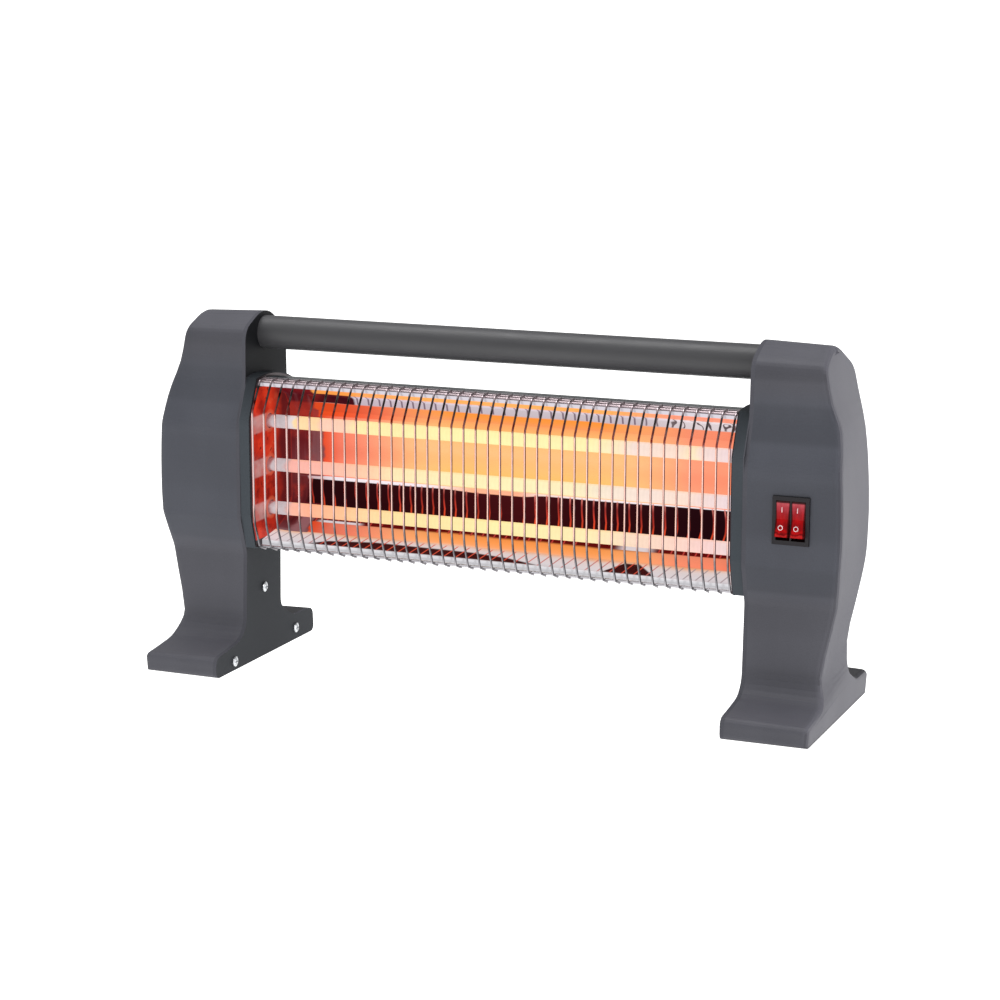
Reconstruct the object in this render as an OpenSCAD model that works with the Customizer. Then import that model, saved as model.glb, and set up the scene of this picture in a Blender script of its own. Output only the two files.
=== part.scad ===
// Electric bar heater: three quartz tubes in a polished reflector, hung between two moulded legs.
// Millimetres. X runs along the heater, -Y is its front and Z is up. The origin is on the floor,
// midway between the legs and under the middle of the feet.

/* [Legs] */
// Clear span between the inner faces of the two legs
leg_span = 394; // [330:2:460]
// Height of the crown of each leg
leg_h = 267; // [262:1:290]
// Depth of a foot, front to back
foot_depth = 160; // [140:2:200]
// Height of the front end of a foot
toe_h = 15.5; // [13:0.5:20]
// Height of the back end of a foot
heel_h = 19.5; // [14:0.5:22]
// Distance from the middle plane to the front of the ankle
ankle_front = 28.5; // [26:0.5:33]
// Distance from the middle plane to the back of the ankle
ankle_back = 26; // [24:0.5:32]
// Distance from the middle plane to the front of the neck
neck_front = 24; // [20:0.5:28]
// Distance from the middle plane to the back of the neck
neck_back = 41; // [38:0.5:46]
// Width of a leg at the floor
foot_w = 62; // [54:0.5:70]
// Width of a leg at the ankle
ankle_w = 57; // [52:0.5:62]
// Width of a leg at the level of the heater body
belly_w = 70.5; // [64:0.5:78]
// Width of a leg at its crown
crown_w = 51.5; // [44:0.5:58]
// Wall of the moulded leg shell
leg_wall = 2.4; // [1.8:0.1:3]
// Thickness of the inner cover that closes a leg
cover_t = 3; // [2:0.1:4]
// Radius of the outer edges of a leg
edge_r = 4.5; // [3.5:0.1:6]
// Radius of the upper corners of the toe and the heel
foot_r = 6.5; // [5:0.5:7]
// Moulding draft of the leg shell, in degrees
draft = 1.4; // [0.5:0.1:2]

/* [Heater body] */
// Height of the middle of the body above the floor
body_mid_z = 155; // [150:1:160]
// Height of the body, from the underside to the crown
body_h = 134; // [126:1:140]
// Distance from the middle plane to the flat front of the body
body_front = 37; // [35:0.5:40]
// Distance from the middle plane to the flat back of the body
body_back = 38; // [34:0.5:39]
// Radius of the arched top and underside of the body
arch_r = 98; // [85:1:130]
// How far the boss on each leg stands out toward the body
boss_depth = 8; // [6:0.5:14]
// Wall of the boss
boss_wall = 2.5; // [2:0.1:3.5]
// Step from the outline of the boss in to the rear cover
cover_inset = 3.2; // [2.5:0.1:4]
// Depth of the step along the front of the rear cover, where the grille is hooked on
grille_step = 1.6; // [1:0.1:2]
// Thickness of the rear cover sheet
sheet_t = 0.8; // [0.6:0.1:1.2]
// Thickness of the polished reflector sheet
reflector_t = 0.6; // [0.4:0.1:0.8]
// Thickness of the polished end plates
end_plate_t = 1; // [0.8:0.1:1.5]
// Distance from the middle plane to the lips along the mouth
lip_y = 20.5; // [18:0.5:23]
// Height of the body above the mouth, and below it
mouth_edge = 8; // [8:0.5:14]
// Distance from the middle plane to the back of the reflector
trough_back = 28; // [24:0.5:31]
// Width of one ventilation slot in the rear cover
vent_w = 3; // [2:0.5:4]
// Length of one ventilation slot
vent_l = 26; // [16:1:34]
// Spacing of the ventilation slots along the heater
vent_pitch = 12; // [8:1:20]

/* [Quartz tubes] */
// Outside diameter of a quartz tube
tube_d = 10; // [8:0.5:11]
// Wall of a quartz tube
tube_wall = 1.2; // [0.8:0.1:1.4]
// Spacing of the three tubes, one above the other
tube_pitch = 33.5; // [26:0.5:36]
// Height of the middle tube below the middle of the body
tube_drop = 3.5; // [0:0.5:6]
// Distance of the tube axes in front of the middle plane
tube_front = 5; // [0:0.5:10]
// Outside diameter of a heating coil
coil_d = 6.2; // [4.5:0.1:7]
// Diameter of the resistance wire, drawn as one strand
coil_wire_d = 0.9; // [0.6:0.1:1.2]
// Number of turns drawn in each heating coil
coil_turns = 24; // [12:1:24]
// Length of the wound part of each coil
coil_l = 312; // [240:2:320]

/* [Ceramic caps] */
// Outside diameter of a ceramic cap
cap_d = 14; // [13:0.5:16]
// Diameter of the flange of a cap
cap_flange_d = 17.5; // [17:0.5:20]
// Length of a cap, from the end plate back
cap_l = 12.5; // [11:0.5:16]
// Width of the terminal blades
blade_w = 6.3; // [4.8:0.1:6.3]
// Thickness of the terminal blades
blade_t = 0.8; // [0.6:0.1:1]

/* [Wire grille] */
// Diameter of the upright grille wires
wire_d = 1.6; // [1.4:0.1:2.4]
// Diameter of the lengthwise rails
rail_d = 1.6; // [1.4:0.1:2.4]
// Spacing of the upright wires
wire_pitch = 9.56; // [8:0.1:14]
// Distance from the middle plane to the front of the wires
grille_front = 36.3; // [34:0.1:37]
// Inside bend radius at the top and bottom of the wires
hook_r = 2.5; // [2:0.1:4]
// Bend radius at the top of the upright stretch of a wire
kink_r = 5; // [3:0.5:10]
// Bend radius at the bottom of the upright stretch of a wire
bow_r = 24; // [12:1:28]
// Length of the upright stretch of a wire, corner to corner
bow_h = 84; // [70:1:88]
// How far the hooks of a wire reach back over the rear cover and under it
hook_l = 9; // [7:0.5:10]

/* [Handle] */
// Outside diameter of the handle tube
handle_d = 25; // [20:0.5:27]
// Wall of the handle tube
handle_wall = 1.2; // [0.8:0.1:2]
// Depth of the handle axis below the crown of the legs
handle_drop = 16; // [15.5:0.5:19]
// Distance of the handle axis behind the middle plane
handle_y = 7; // [4:0.5:10]
// How far the tube reaches into each leg
handle_in = 16; // [10:1:24]

/* [Rocker switch] */
// Width of the switch frame
bezel_w = 26.2; // [25.8:0.1:30]
// Height of the switch frame
bezel_h = 34; // [33:0.5:38]
// Thickness of the rim of the frame
bezel_t = 2.6; // [2:0.1:3.5]
// Distance from the inner face of the leg to the middle of the switch
switch_in = 34.85; // [32:0.05:38]
// Height of the middle of the switch below the middle of the body
switch_drop = 6; // [0:0.5:12]
// Width of one rocker
rocker_w = 9.5; // [9:0.1:9.7]
// Height of one rocker
rocker_h = 24.8; // [22:0.1:24.8]
// Angle that a rocker turns through between on and off
rocker_throw = 20; // [14:1:20]
// Depth of the switch behind its rim
switch_depth = 21; // [18:0.5:28]

/* [Screws] */
// Shank diameter of the cover screws
screw_d = 3.5; // [3:0.1:4]
// Head diameter of the cover screws
screw_head_d = 7.7; // [7:0.1:9]
// Head height of the cover screws
screw_head_h = 2.3; // [1.8:0.1:3]
// Distance of the toe screw from the front end of the foot
toe_screw_in = 28; // [24:1:34]
// Height of the toe screw above the floor
toe_screw_z = 7.1; // [6.6:0.1:9]
// Distance of the heel screw from the back end of the foot
heel_screw_in = 32; // [26:1:38]
// Height of the heel screw above the floor
heel_screw_z = 9.5; // [7:0.1:12]
// Height of the ankle screw above the floor
ankle_screw_z = 54.2; // [50:0.2:58]
// Length of a cover screw below its head
screw_l = 18; // [12:1:24]

/* [Tip-over switch] */
// Width of the U-shaped bracket, between its cheeks
tip_gap = 9; // [8:0.5:12]
// Length of the pendulum from its pivot to the middle of the bob
tip_arm = 16.5; // [14:0.5:18]
// Diameter of the bob
bob_d = 13; // [10:0.5:14]
// Diameter of the pivot pin
tip_pin_d = 3; // [2.5:0.1:4]

/* [Mains inlet] */
// Height of the cord gland above the floor
gland_z = 56; // [52:1:62]
// Bore of the cord gland
gland_bore = 7.2; // [6:0.1:8]
// Diameter of the neck of the gland, in the leg wall
gland_neck_d = 11.6; // [10.5:0.1:13]
// Diameter of the gland flange
gland_flange_d = 16; // [15:0.5:18]

/* [Fits] */
// Gap between pieces that are fixed to each other
seat_gap = 0.2; // [0.1:0.05:0.3]
// Gap round pieces that move
move_gap = 0.3; // [0.25:0.05:0.4]
// Radial clearance of a pin that turns in a hole
pin_gap = 0.05; // [0.03:0.01:0.1]

/* [Hidden] */
$fn = 48;

leg_x = leg_span / 2;                 // inner face of a leg
shell_x = leg_x + cover_t;            // parting plane between inner cover and leg shell
boss_x = leg_x - boss_depth;          // face of the boss, where the end plate lies
plate_x = boss_x - end_plate_t;       // inner face of the end plate
big = 400;                            // longer than anything that is cut

// ---------------------------------------------------------------- plane helpers

function unit(v) = v / norm(v);
function turn_between(a, b) = atan2(a[0] * b[1] - a[1] * b[0], a[0] * b[0] + a[1] * b[1]);
function mixed(a, b, share) = a + (b - a) * share;
function turned(v, a) = [v[0] * cos(a) - v[1] * sin(a), v[0] * sin(a) + v[1] * cos(a)];

// Arc of radius r that rounds the corner p1 between p0 and p2, as steps + 1 points
function round_corner(p0, p1, p2, r, steps) =
    let(
        before = unit(p1 - p0),
        after = unit(p2 - p1),
        turn = turn_between(before, after),
        start = p1 - before * r * tan(abs(turn) / 2),
        spoke = turned(before, turn > 0 ? -90 : 90) * r
    )
    [for (k = [0 : steps]) start - spoke + turned(spoke, turn * k / steps)];

// Where the line through p along a, moved right by da, meets the line through p along b, moved by db
function moved_corner(p, a, b, da, db) =
    let(
        na = turned(a, -90),
        nb = turned(b, -90)
    )
    p + na * da + a * (db - da * (na * nb)) / (a * nb);

// Height-dependent value through the knots [height, value], smooth at every knot
function knot_slope(knots, i) =
    let(
        a = knots[max(i - 1, 0)],
        b = knots[min(i + 1, len(knots) - 1)]
    )
    (b[1] - a[1]) / (b[0] - a[0]);
function smooth_value(knots, h) =
    let(
        last = len(knots) - 1,
        at = min(max(h, knots[0][0]), knots[last][0]),
        i = max([for (j = [0 : last - 1]) if (knots[j][0] <= at) j]),
        step = knots[i + 1][0] - knots[i][0],
        t = (at - knots[i][0]) / step
    )
    knots[i][1] * (2 * t * t * t - 3 * t * t + 1)
    + knot_slope(knots, i) * step * (t * t * t - 2 * t * t + t)
    + knots[i + 1][1] * (3 * t * t - 2 * t * t * t)
    + knot_slope(knots, i + 1) * step * (t * t * t - t * t);

// Draws a profile given as (y, z) and extrudes it along X, from x0 to x1
module along_x(x0, x1) {
    translate([x0, 0, 0])
        rotate([90, 0, 90])
            linear_extrude(x1 - x0)
                children();
}

// Cylinder along X, from x0 to x1, round the axis (y, z)
module rod_x(x0, x1, y, z, d) {
    translate([x0, y, z])
        rotate([0, 90, 0])
            cylinder(d = d, h = x1 - x0);
}

// Both ends of the heater: the children are drawn for the +X end and mirrored
module both_ends() {
    children();
    mirror([1, 0, 0])
        children();
}

// ---------------------------------------------------------------- leg outline

// Side view of a leg. Each level has the front corner, the back corner, the number of steps in
// their rounding and the number of steps in the straight stretch above: [y, z, radius] twice.
// The toe slopes gently, the heel is level and runs up to the ankle, the front is drawn in at ankle
// and neck, and the crown is arched.
belly_low_z = body_mid_z - 41;
belly_high_z = body_mid_z + 29;
toe_slope = ankle_front + 3.5;
heel_slope = ankle_back - 1.6;
heel_back = foot_depth / 2 - 1.5;
toe_mid = mixed(-foot_depth / 2, -toe_slope, 0.35);
heel_mid = mixed(heel_back, heel_slope, 0.58);
function neck_level(share) = belly_high_z + (leg_h - belly_high_z) * share;
leg_levels = [
    [[-foot_depth / 2, 0, foot_r - 2], [foot_depth / 2, 0, foot_r - 2], 4, 1],
    [[-foot_depth / 2, toe_h, foot_r], [heel_back, heel_h, foot_r], 5, 2],
    [[toe_mid, toe_h + 1.9, 40], [heel_mid, heel_h + 0.6, 16], 3, 1],
    [[-toe_slope, toe_h + 6.5, 18], [heel_slope, heel_h + 12.5, 12], 6, 3],
    [[-ankle_front, belly_low_z - 28, 14], [ankle_back, belly_low_z - 30, 26], 3, 2],
    [[-body_front - 0.5, belly_low_z, 14], [neck_back, belly_low_z - 2, 40], 3, 5],
    [[-body_front, belly_high_z, 30], [neck_back + 1, belly_high_z, 60], 3, 3],
    [[-neck_front - 1.5, neck_level(0.386), 30], [neck_back, neck_level(0.386), 60], 3, 3],
    [[-neck_front, leg_h - 11, 14], [neck_back - 0.5, leg_h - 17, 16], 5, 1],
    [[0, leg_h, 30], [14, leg_h, 24], 3, 1]
];
levels = len(leg_levels);
// The same corners as one clockwise loop: up the front and down the back
leg_corners = concat(
    [for (l = leg_levels) [l[0][0], l[0][1], l[0][2], l[2], l[3]]],
    [for (k = [levels - 1 : -1 : 0]) let(l = leg_levels[k])
        [l[1][0], l[1][1], l[1][2], l[2], k == 0 ? 1 : leg_levels[k - 1][3]]]
);

// Corner i of the loop moved in by inset, and by floor_inset where it lies on the floor line
function leg_corner(i, inset, floor_inset) =
    let(
        n = len(leg_corners),
        p0 = leg_corners[(i + n - 1) % n],
        p1 = leg_corners[i % n],
        p2 = leg_corners[(i + 1) % n],
        a = unit([p1[0] - p0[0], p1[1] - p0[1]]),
        b = unit([p2[0] - p1[0], p2[1] - p1[1]]),
        da = p0[1] + p1[1] == 0 ? floor_inset : inset,
        db = p1[1] + p2[1] == 0 ? floor_inset : inset
    )
    moved_corner([p1[0], p1[1]], a, b, da, db);
// Convex corners get a smaller radius as they move in, and concave ones a larger one
function leg_radius(i, inset) =
    let(
        n = len(leg_corners),
        p0 = leg_corners[(i + n - 1) % n],
        p1 = leg_corners[i % n],
        p2 = leg_corners[(i + 1) % n],
        turn = turn_between([p1[0] - p0[0], p1[1] - p0[1]], [p2[0] - p1[0], p2[1] - p1[1]])
    )
    max(p1[2] + (turn > 0 ? inset : -inset), 0.3);
function leg_outline(inset = 0, floor_inset = 0) =
    let(
        n = len(leg_corners),
        arcs = [for (i = [0 : n - 1]) round_corner(
            leg_corner(i + n - 1, inset, floor_inset),
            leg_corner(i, inset, floor_inset),
            leg_corner(i + 1, inset, floor_inset),
            leg_radius(i, inset),
            leg_corners[i][3])]
    )
    [for (i = [0 : n - 1])
        let(
            from = arcs[i][len(arcs[i]) - 1],
            to = arcs[(i + 1) % n][0],
            steps = leg_corners[i][4]
        )
        each concat(arcs[i], [for (k = [1 : 1 : steps - 1]) from + (to - from) * k / steps])];

// Width of a leg along its front edge, which waves, and along its back edge, which bows
front_widths = [
    [0, foot_w],
    [toe_h, foot_w + 0.5],
    [36, ankle_w],
    [62, ankle_w + 4.5],
    [belly_low_z - 22, belly_w - 3.4],
    [belly_low_z + 6, belly_w - 0.3],
    [body_mid_z, belly_w],
    [belly_high_z + 6, belly_w - 1.8],
    [neck_level(0.325), belly_w - 5],
    [neck_level(0.542), crown_w + 7],
    [neck_level(0.76), crown_w + 3],
    [leg_h, crown_w]
];
back_widths = [
    [0, foot_w],
    [heel_h + 2, foot_w + 1.5],
    [54, foot_w],
    [belly_low_z - 27, belly_w - 2.6],
    [belly_low_z + 6, belly_w - 0.3],
    [body_mid_z, belly_w],
    [neck_level(0.24), belly_w - 3.8],
    [neck_level(0.614), crown_w + 8.5],
    [neck_level(0.83), crown_w + 4.5],
    [leg_h, crown_w]
];

// One closed ring of the shell: the outline at an inset, at the leg's width less x_less
// or, where flat is set, in the parting plane
function leg_ring(inset, floor_inset, x_less, flat = false) =
    let(
        outline = leg_outline(inset, floor_inset),
        half = len(outline) / 2
    )
    [for (i = [0 : len(outline) - 1])
        let(
            p = outline[i],
            width = smooth_value(i < half ? front_widths : back_widths, p[1])
        )
        [flat ? shell_x : leg_x + width - x_less, p[0], p[1]]];

// ---------------------------------------------------------------- leg shell

edge_steps = 4;
draft_in = tan(draft) * foot_w;
leg_rings = concat(
    [
        leg_ring(edge_r + draft_in, leg_wall, leg_wall),
        leg_ring(leg_wall + draft_in, leg_wall, edge_r),
        leg_ring(leg_wall, leg_wall, 0, true),
        leg_ring(0, 0, 0, true)
    ],
    [for (k = [0 : edge_steps])
        let(a = 90 * k / edge_steps)
        leg_ring(draft_in + edge_r * (1 - cos(a)), 0, edge_r * (1 - sin(a)))]
);

// Moulded shell, open toward the heater: inner skin, rim, outer skin and rounded outer edge
module leg_skin() {
    n = len(leg_rings[0]);
    last = len(leg_rings) - 1;
    half = n / 2;
    polyhedron(
        points = [for (ring = leg_rings) each ring],
        faces = concat(
            [for (r = [0 : last - 1], i = [0 : n - 1])
                let(
                    a = r * n + i,
                    b = r * n + (i + 1) % n
                )
                each [[a, b, b + n], [a, b + n, a + n]]],
            [for (i = [0 : half - 2])
                each [[n - 1 - i, n - 2 - i, i + 1], [n - 1 - i, i + 1, i]]],
            [for (i = [0 : half - 2])
                let(top = last * n)
                each [
                    [top + i, top + i + 1, top + n - 2 - i],
                    [top + i, top + n - 2 - i, top + n - 1 - i]
                ]]
        )
    );
}

// Cover screws, as (y, z): toe, heel and ankle
ankle_screw_front = 2.6;
cover_screw_at = [
    [-foot_depth / 2 + toe_screw_in, toe_screw_z],
    [foot_depth / 2 - heel_screw_in, heel_screw_z],
    [-ankle_screw_front, ankle_screw_z]
];
post_d = screw_d + 4;

// Posts that stand on the outer wall and take the cover screws
module screw_posts() {
    for (at = cover_screw_at) {
        width = (smooth_value(front_widths, at[1]) + smooth_value(back_widths, at[1])) / 2;
        difference() {
            rod_x(shell_x, leg_x + width - leg_wall / 2, at[0], at[1], post_d);
            rod_x(shell_x - 1, shell_x + screw_l + 2, at[0], at[1], screw_d + 2 * pin_gap);
        }
    }
}

module leg_shell() {
    leg_skin();
    screw_posts();
}

switch_x = leg_x + switch_in;
switch_z = body_mid_z - switch_drop;
pocket_y = -body_front + draft_in + 0.1;
gland_x = leg_x + 29;
gland_y = ankle_back - 2.4;

module left_leg_shell() {
    color([0.36, 0.36, 0.39])
        mirror([1, 0, 0])
            leg_shell();
}

module right_leg_shell() {
    color([0.36, 0.36, 0.39])
        difference() {
            leg_shell();
            translate([switch_x - bezel_w / 2 - seat_gap, pocket_y - 20, switch_z - bezel_h / 2 - seat_gap])
                cube([bezel_w + 2 * seat_gap, 20, bezel_h + 2 * seat_gap]);
            translate([switch_x - frame_w / 2 - seat_gap, pocket_y - 1, switch_z - frame_h / 2 - seat_gap])
                cube([frame_w + 2 * seat_gap, 12, frame_h + 2 * seat_gap]);
            translate([gland_x, gland_y + 10, gland_z])
                rotate([90, 0, 0])
                    cylinder(d = gland_neck_d + 2 * seat_gap, h = 20);
            translate([gland_x, gland_y + 10, gland_z])
                rotate([90, 0, 0])
                    cylinder(d = gland_flange_d + 2 * seat_gap, h = 10);
        }
}

// ---------------------------------------------------------------- body outline

arch_y = -6;
body_top = body_mid_z + body_h / 2;
body_low = body_mid_z - body_h / 2;
mouth_h = body_h - 2 * mouth_edge;
mouth_top = body_mid_z + mouth_h / 2;
mouth_low = body_mid_z - mouth_h / 2;

// Everything on the right-hand side of the line from p to q, moved in by inset
module side_of(p, q, inset) {
    translate(p)
        rotate(atan2(q[1] - p[1], q[0] - p[0]))
            translate([-big, -big - inset])
                square([2 * big, big]);
}

// Section of the body in (y, z), stepped in by inset: arched top and underside, flat front and
// back, and sloping shoulders that follow the front of the legs
module body_section(inset = 0) {
    intersection() {
        translate([arch_y, body_top - arch_r])
            circle(r = arch_r - inset, $fn = 96);
        translate([arch_y, body_low + arch_r])
            circle(r = arch_r - inset, $fn = 96);
        translate([-body_front + inset, 0])
            square([body_front + body_back - 2 * inset, big]);
        side_of([-body_front, body_top - 32], [-body_front + 13, body_top - 3], inset);
        side_of([-body_front + 7.5, body_low + 1], [-body_front, body_low + 29], inset);
        side_of([body_back, body_top - 19], [body_back + 8, body_top - 39], inset - 4);
    }
}

// Height of the top or underside of the section at y, for a given inset
function arch_rise(y, inset) = sqrt(pow(arch_r - inset, 2) - pow(y - arch_y, 2));
function section_top(y, inset) = body_top - arch_r + arch_rise(y, inset);
function section_low(y, inset) = body_low + arch_r - arch_rise(y, inset);

// ---------------------------------------------------------------- tubes and caps

tube_z = [for (k = [1 : -1 : -1]) body_mid_z - tube_drop + k * tube_pitch];
cap_end_x = boss_x + cap_l;
tube_end_x = cap_end_x - 4;
cap_bore = tube_d + 0.4;

module quartz_tube(z) {
    color([0.95, 0.93, 0.9, 0.5])
        difference() {
            rod_x(-tube_end_x, tube_end_x, -tube_front, z, tube_d);
            rod_x(-big, big, -tube_front, z, tube_d - 2 * tube_wall);
        }
}
module quartz_tube_top() {
    quartz_tube(tube_z[0]);
}
module quartz_tube_middle() {
    quartz_tube(tube_z[1]);
}
module quartz_tube_bottom() {
    quartz_tube(tube_z[2]);
}

// Heating coil: straight leads on the axis, a half turn out to the coil radius, and the winding
coil_rings_per_turn = 8;
coil_sides = 6;
coil_r = (coil_d - coil_wire_d) / 2;
coil_pitch = coil_l / coil_turns;
coil_lead_x = tube_end_x + 0.5;
coil_ramp = 4;
// Path of the wire as [x, radius, angle]
coil_path = concat(
    [[-coil_lead_x, 0, 0], [-coil_l / 2 - coil_pitch, 0, 0]],
    [for (k = [1 : coil_ramp - 1])
        [-coil_l / 2 - coil_pitch * (1 - k / coil_ramp), coil_r * k / coil_ramp, 0]],
    [for (k = [0 : coil_turns * coil_rings_per_turn])
        [-coil_l / 2 + coil_pitch * k / coil_rings_per_turn, coil_r, 360 * k / coil_rings_per_turn]],
    [for (k = [coil_ramp - 1 : -1 : 1])
        [coil_l / 2 + coil_pitch * (1 - k / coil_ramp), coil_r * k / coil_ramp, 0]],
    [[coil_l / 2 + coil_pitch, 0, 0], [coil_lead_x, 0, 0]]
);
function coil_point(k) =
    let(
        c = coil_path[k],
        last = len(coil_path) - 1
    )
    [c[0], c[1] * cos(c[2]), c[1] * sin(c[2])];
coil_points = [for (k = [0 : len(coil_path) - 1]) coil_point(k)];
// Ring of the wire at point k, square to the wire, seen from the axis of the coil
function coil_ring(k) =
    let(
        last = len(coil_points) - 1,
        along = unit(coil_points[min(k + 1, last)] - coil_points[max(k - 1, 0)]),
        out = [0, cos(coil_path[k][2]), sin(coil_path[k][2])],
        up = unit(out - along * (out * along)),
        side = cross(along, up)
    )
    [for (s = [0 : coil_sides - 1])
        let(a = 360 * s / coil_sides)
        coil_points[k] + (up * cos(a) + side * sin(a)) * coil_wire_d / 2];
coil_skin = [for (k = [0 : len(coil_points) - 1]) each coil_ring(k)];
// Least gap of the wound part to itself, between points half a turn or more apart
echo(coil_gap = min([
    for (k = [coil_ramp + 2 : len(coil_points) - 2 * coil_rings_per_turn - coil_ramp])
        for (m = [coil_rings_per_turn / 2 : 2 * coil_rings_per_turn])
            norm(coil_points[k + m] - coil_points[k])
]) - coil_wire_d);

module heating_coil(z) {
    color([0.75, 0.45, 0.2])
        translate([0, -tube_front, z])
            tube_skin(coil_skin, coil_sides);
}
module heating_coil_top() {
    heating_coil(tube_z[0]);
}
module heating_coil_middle() {
    heating_coil(tube_z[1]);
}
module heating_coil_bottom() {
    heating_coil(tube_z[2]);
}

// Three ceramic caps at the +X end: blind bore for the tube, flange behind the boss, blade slot
module ceramic_caps() {
    color([0.93, 0.9, 0.84])
        for (z = tube_z)
            difference() {
                union() {
                    rod_x(boss_x, cap_end_x, -tube_front, z, cap_d);
                    rod_x(boss_x + boss_wall + seat_gap, boss_x + boss_wall + 3, -tube_front, z, cap_flange_d);
                }
                rod_x(boss_x - 1, tube_end_x + 1, -tube_front, z, cap_bore);
                translate([tube_end_x, -tube_front - blade_t / 2 - 0.1, z - blade_w / 2 - 0.1])
                    cube([20, blade_t + 0.2, blade_w + 0.2]);
            }
}
module left_ceramic_caps() {
    mirror([1, 0, 0])
        ceramic_caps();
}
module right_ceramic_caps() {
    ceramic_caps();
}

// Blade terminal in the end of each cap, with the usual locking hole
blade_l = 14;
module tube_terminals() {
    color([0.8, 0.78, 0.72])
        for (z = tube_z)
            difference() {
                translate([coil_lead_x + seat_gap, -tube_front - blade_t / 2, z - blade_w / 2])
                    cube([blade_l, blade_t, blade_w]);
                translate([coil_lead_x + blade_l - 4, -tube_front, z])
                    rotate([90, 0, 0])
                        cylinder(d = 1.7, h = 4, center = true);
            }
}
module left_tube_terminals() {
    mirror([1, 0, 0])
        tube_terminals();
}
module right_tube_terminals() {
    tube_terminals();
}

// ---------------------------------------------------------------- inner covers

handle_z = leg_h - handle_drop;
handle_end_x = leg_x + handle_in;
cradle_wall = 2.4;
cradle_open_z = handle_z + 6;
// End plate screws, between the slopes of the reflector and the corners of the rear cover, as (y, z)
plate_screw_y = trough_back - 1;
plate_screw_at = [
    [plate_screw_y, mixed(mouth_top - 12, section_top(plate_screw_y, cover_inset + sheet_t), 0.3)],
    [plate_screw_y, mixed(mouth_low + 12, section_low(plate_screw_y, cover_inset + sheet_t), 0.3)]
];
plate_screw_d = 3;
// Bolting posts on the inside of a cover, where the bob swings clear of the ankle screw
bob_h = 11;
bob_room = 2.5;
tip_pivot_z = ankle_screw_z + post_d / 2 + bob_room + bob_h / 2 + tip_arm;
post_z = tip_pivot_z - 8;
post_gap = 30;
post_l = 8;
post_x = shell_x + post_l;
post_screw_d = 2.6;

// Cradle on the back of a cover: holds the tube from below and has an end wall for its screw
module handle_cradle() {
    difference() {
        rod_x(shell_x - 1, handle_end_x + seat_gap + cradle_wall, handle_y, handle_z,
            handle_d + 2 * seat_gap + 2 * cradle_wall);
        rod_x(leg_x - 1, handle_end_x + seat_gap, handle_y, handle_z, handle_d + 2 * seat_gap);
        rod_x(leg_x, big, handle_y, handle_z, screw_d + 2 * pin_gap);
        translate([shell_x, handle_y - 30, cradle_open_z])
            cube([60, 60, 60]);
    }
}

module inner_cover() {
    difference() {
        union() {
            along_x(leg_x, shell_x)
                polygon(leg_outline());
            along_x(boss_x, leg_x + 0.5)
                body_section(0);
            handle_cradle();
            for (side = [-1, 1])
                rod_x(shell_x - 1, post_x, side * post_gap / 2, post_z, post_screw_d + 4);
        }
        along_x(boss_x + boss_wall, shell_x + 1)
            body_section(boss_wall);
        rod_x(leg_x - 1, handle_end_x + seat_gap, handle_y, handle_z, handle_d + 2 * seat_gap);
        for (z = tube_z)
            rod_x(boss_x - 1, boss_x + boss_wall + 1, -tube_front, z, cap_d + 2 * seat_gap);
        for (at = plate_screw_at)
            rod_x(boss_x - 1, boss_x + boss_wall + 1, at[0], at[1], plate_screw_d + 2 * pin_gap);
        for (at = cover_screw_at)
            rod_x(leg_x - 1, shell_x + 1, at[0], at[1], screw_d + 2 * seat_gap);
        for (side = [-1, 1])
            rod_x(shell_x, post_x + 1, side * post_gap / 2, post_z, post_screw_d + 2 * pin_gap);
    }
}
module left_inner_cover() {
    color([0.25, 0.27, 0.29])
        mirror([1, 0, 0])
            inner_cover();
}
module right_inner_cover() {
    color([0.25, 0.27, 0.29])
        inner_cover();
}

// ---------------------------------------------------------------- screws

// Pan-head screw along X: the head lies against the plane x and the shank runs toward +X
module screw_x(x, y, z, d, head_d, head_h, l) {
    crown = head_h / 2;
    difference() {
        union() {
            rod_x(x - head_h + crown, x, y, z, head_d);
            intersection() {
                rod_x(x - head_h, x - head_h + crown + 0.1, y, z, head_d);
                translate([x - head_h + head_d, y, z])
                    sphere(r = head_d);
            }
            rod_x(x - 0.1, x + l, y, z, d);
        }
        for (a = [0, 90])
            translate([x - head_h + 0.4, y, z])
                rotate([a, 0, 0])
                    cube([1.6, head_d * 0.55, 0.9], center = true);
    }
}

module cover_screws() {
    color([0.85, 0.85, 0.86])
        for (at = cover_screw_at)
            screw_x(leg_x, at[0], at[1], screw_d, screw_head_d, screw_head_h, screw_l);
}
module left_cover_screws() {
    mirror([1, 0, 0])
        cover_screws();
}
module right_cover_screws() {
    cover_screws();
}

module end_plate_screws() {
    color([0.7, 0.7, 0.72])
        both_ends()
            for (at = plate_screw_at)
                screw_x(plate_x, at[0], at[1], plate_screw_d, 5.2, 1.8, end_plate_t + boss_wall + 3);
}

// Screw through the end wall of the cradle into the plug: its head is on the far side
module handle_screws() {
    head_x = handle_end_x + seat_gap + cradle_wall;
    color([0.7, 0.7, 0.72])
        both_ends()
            translate([head_x, 0, 0])
                mirror([1, 0, 0])
                    screw_x(0, handle_y, handle_z, screw_d, screw_head_d, screw_head_h, screw_l);
}

// ---------------------------------------------------------------- handle

module handle_tube() {
    color([0.28, 0.28, 0.29])
        difference() {
            rod_x(-handle_end_x, handle_end_x, handle_y, handle_z, handle_d);
            rod_x(-big, big, handle_y, handle_z, handle_d - 2 * handle_wall);
        }
}

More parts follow.
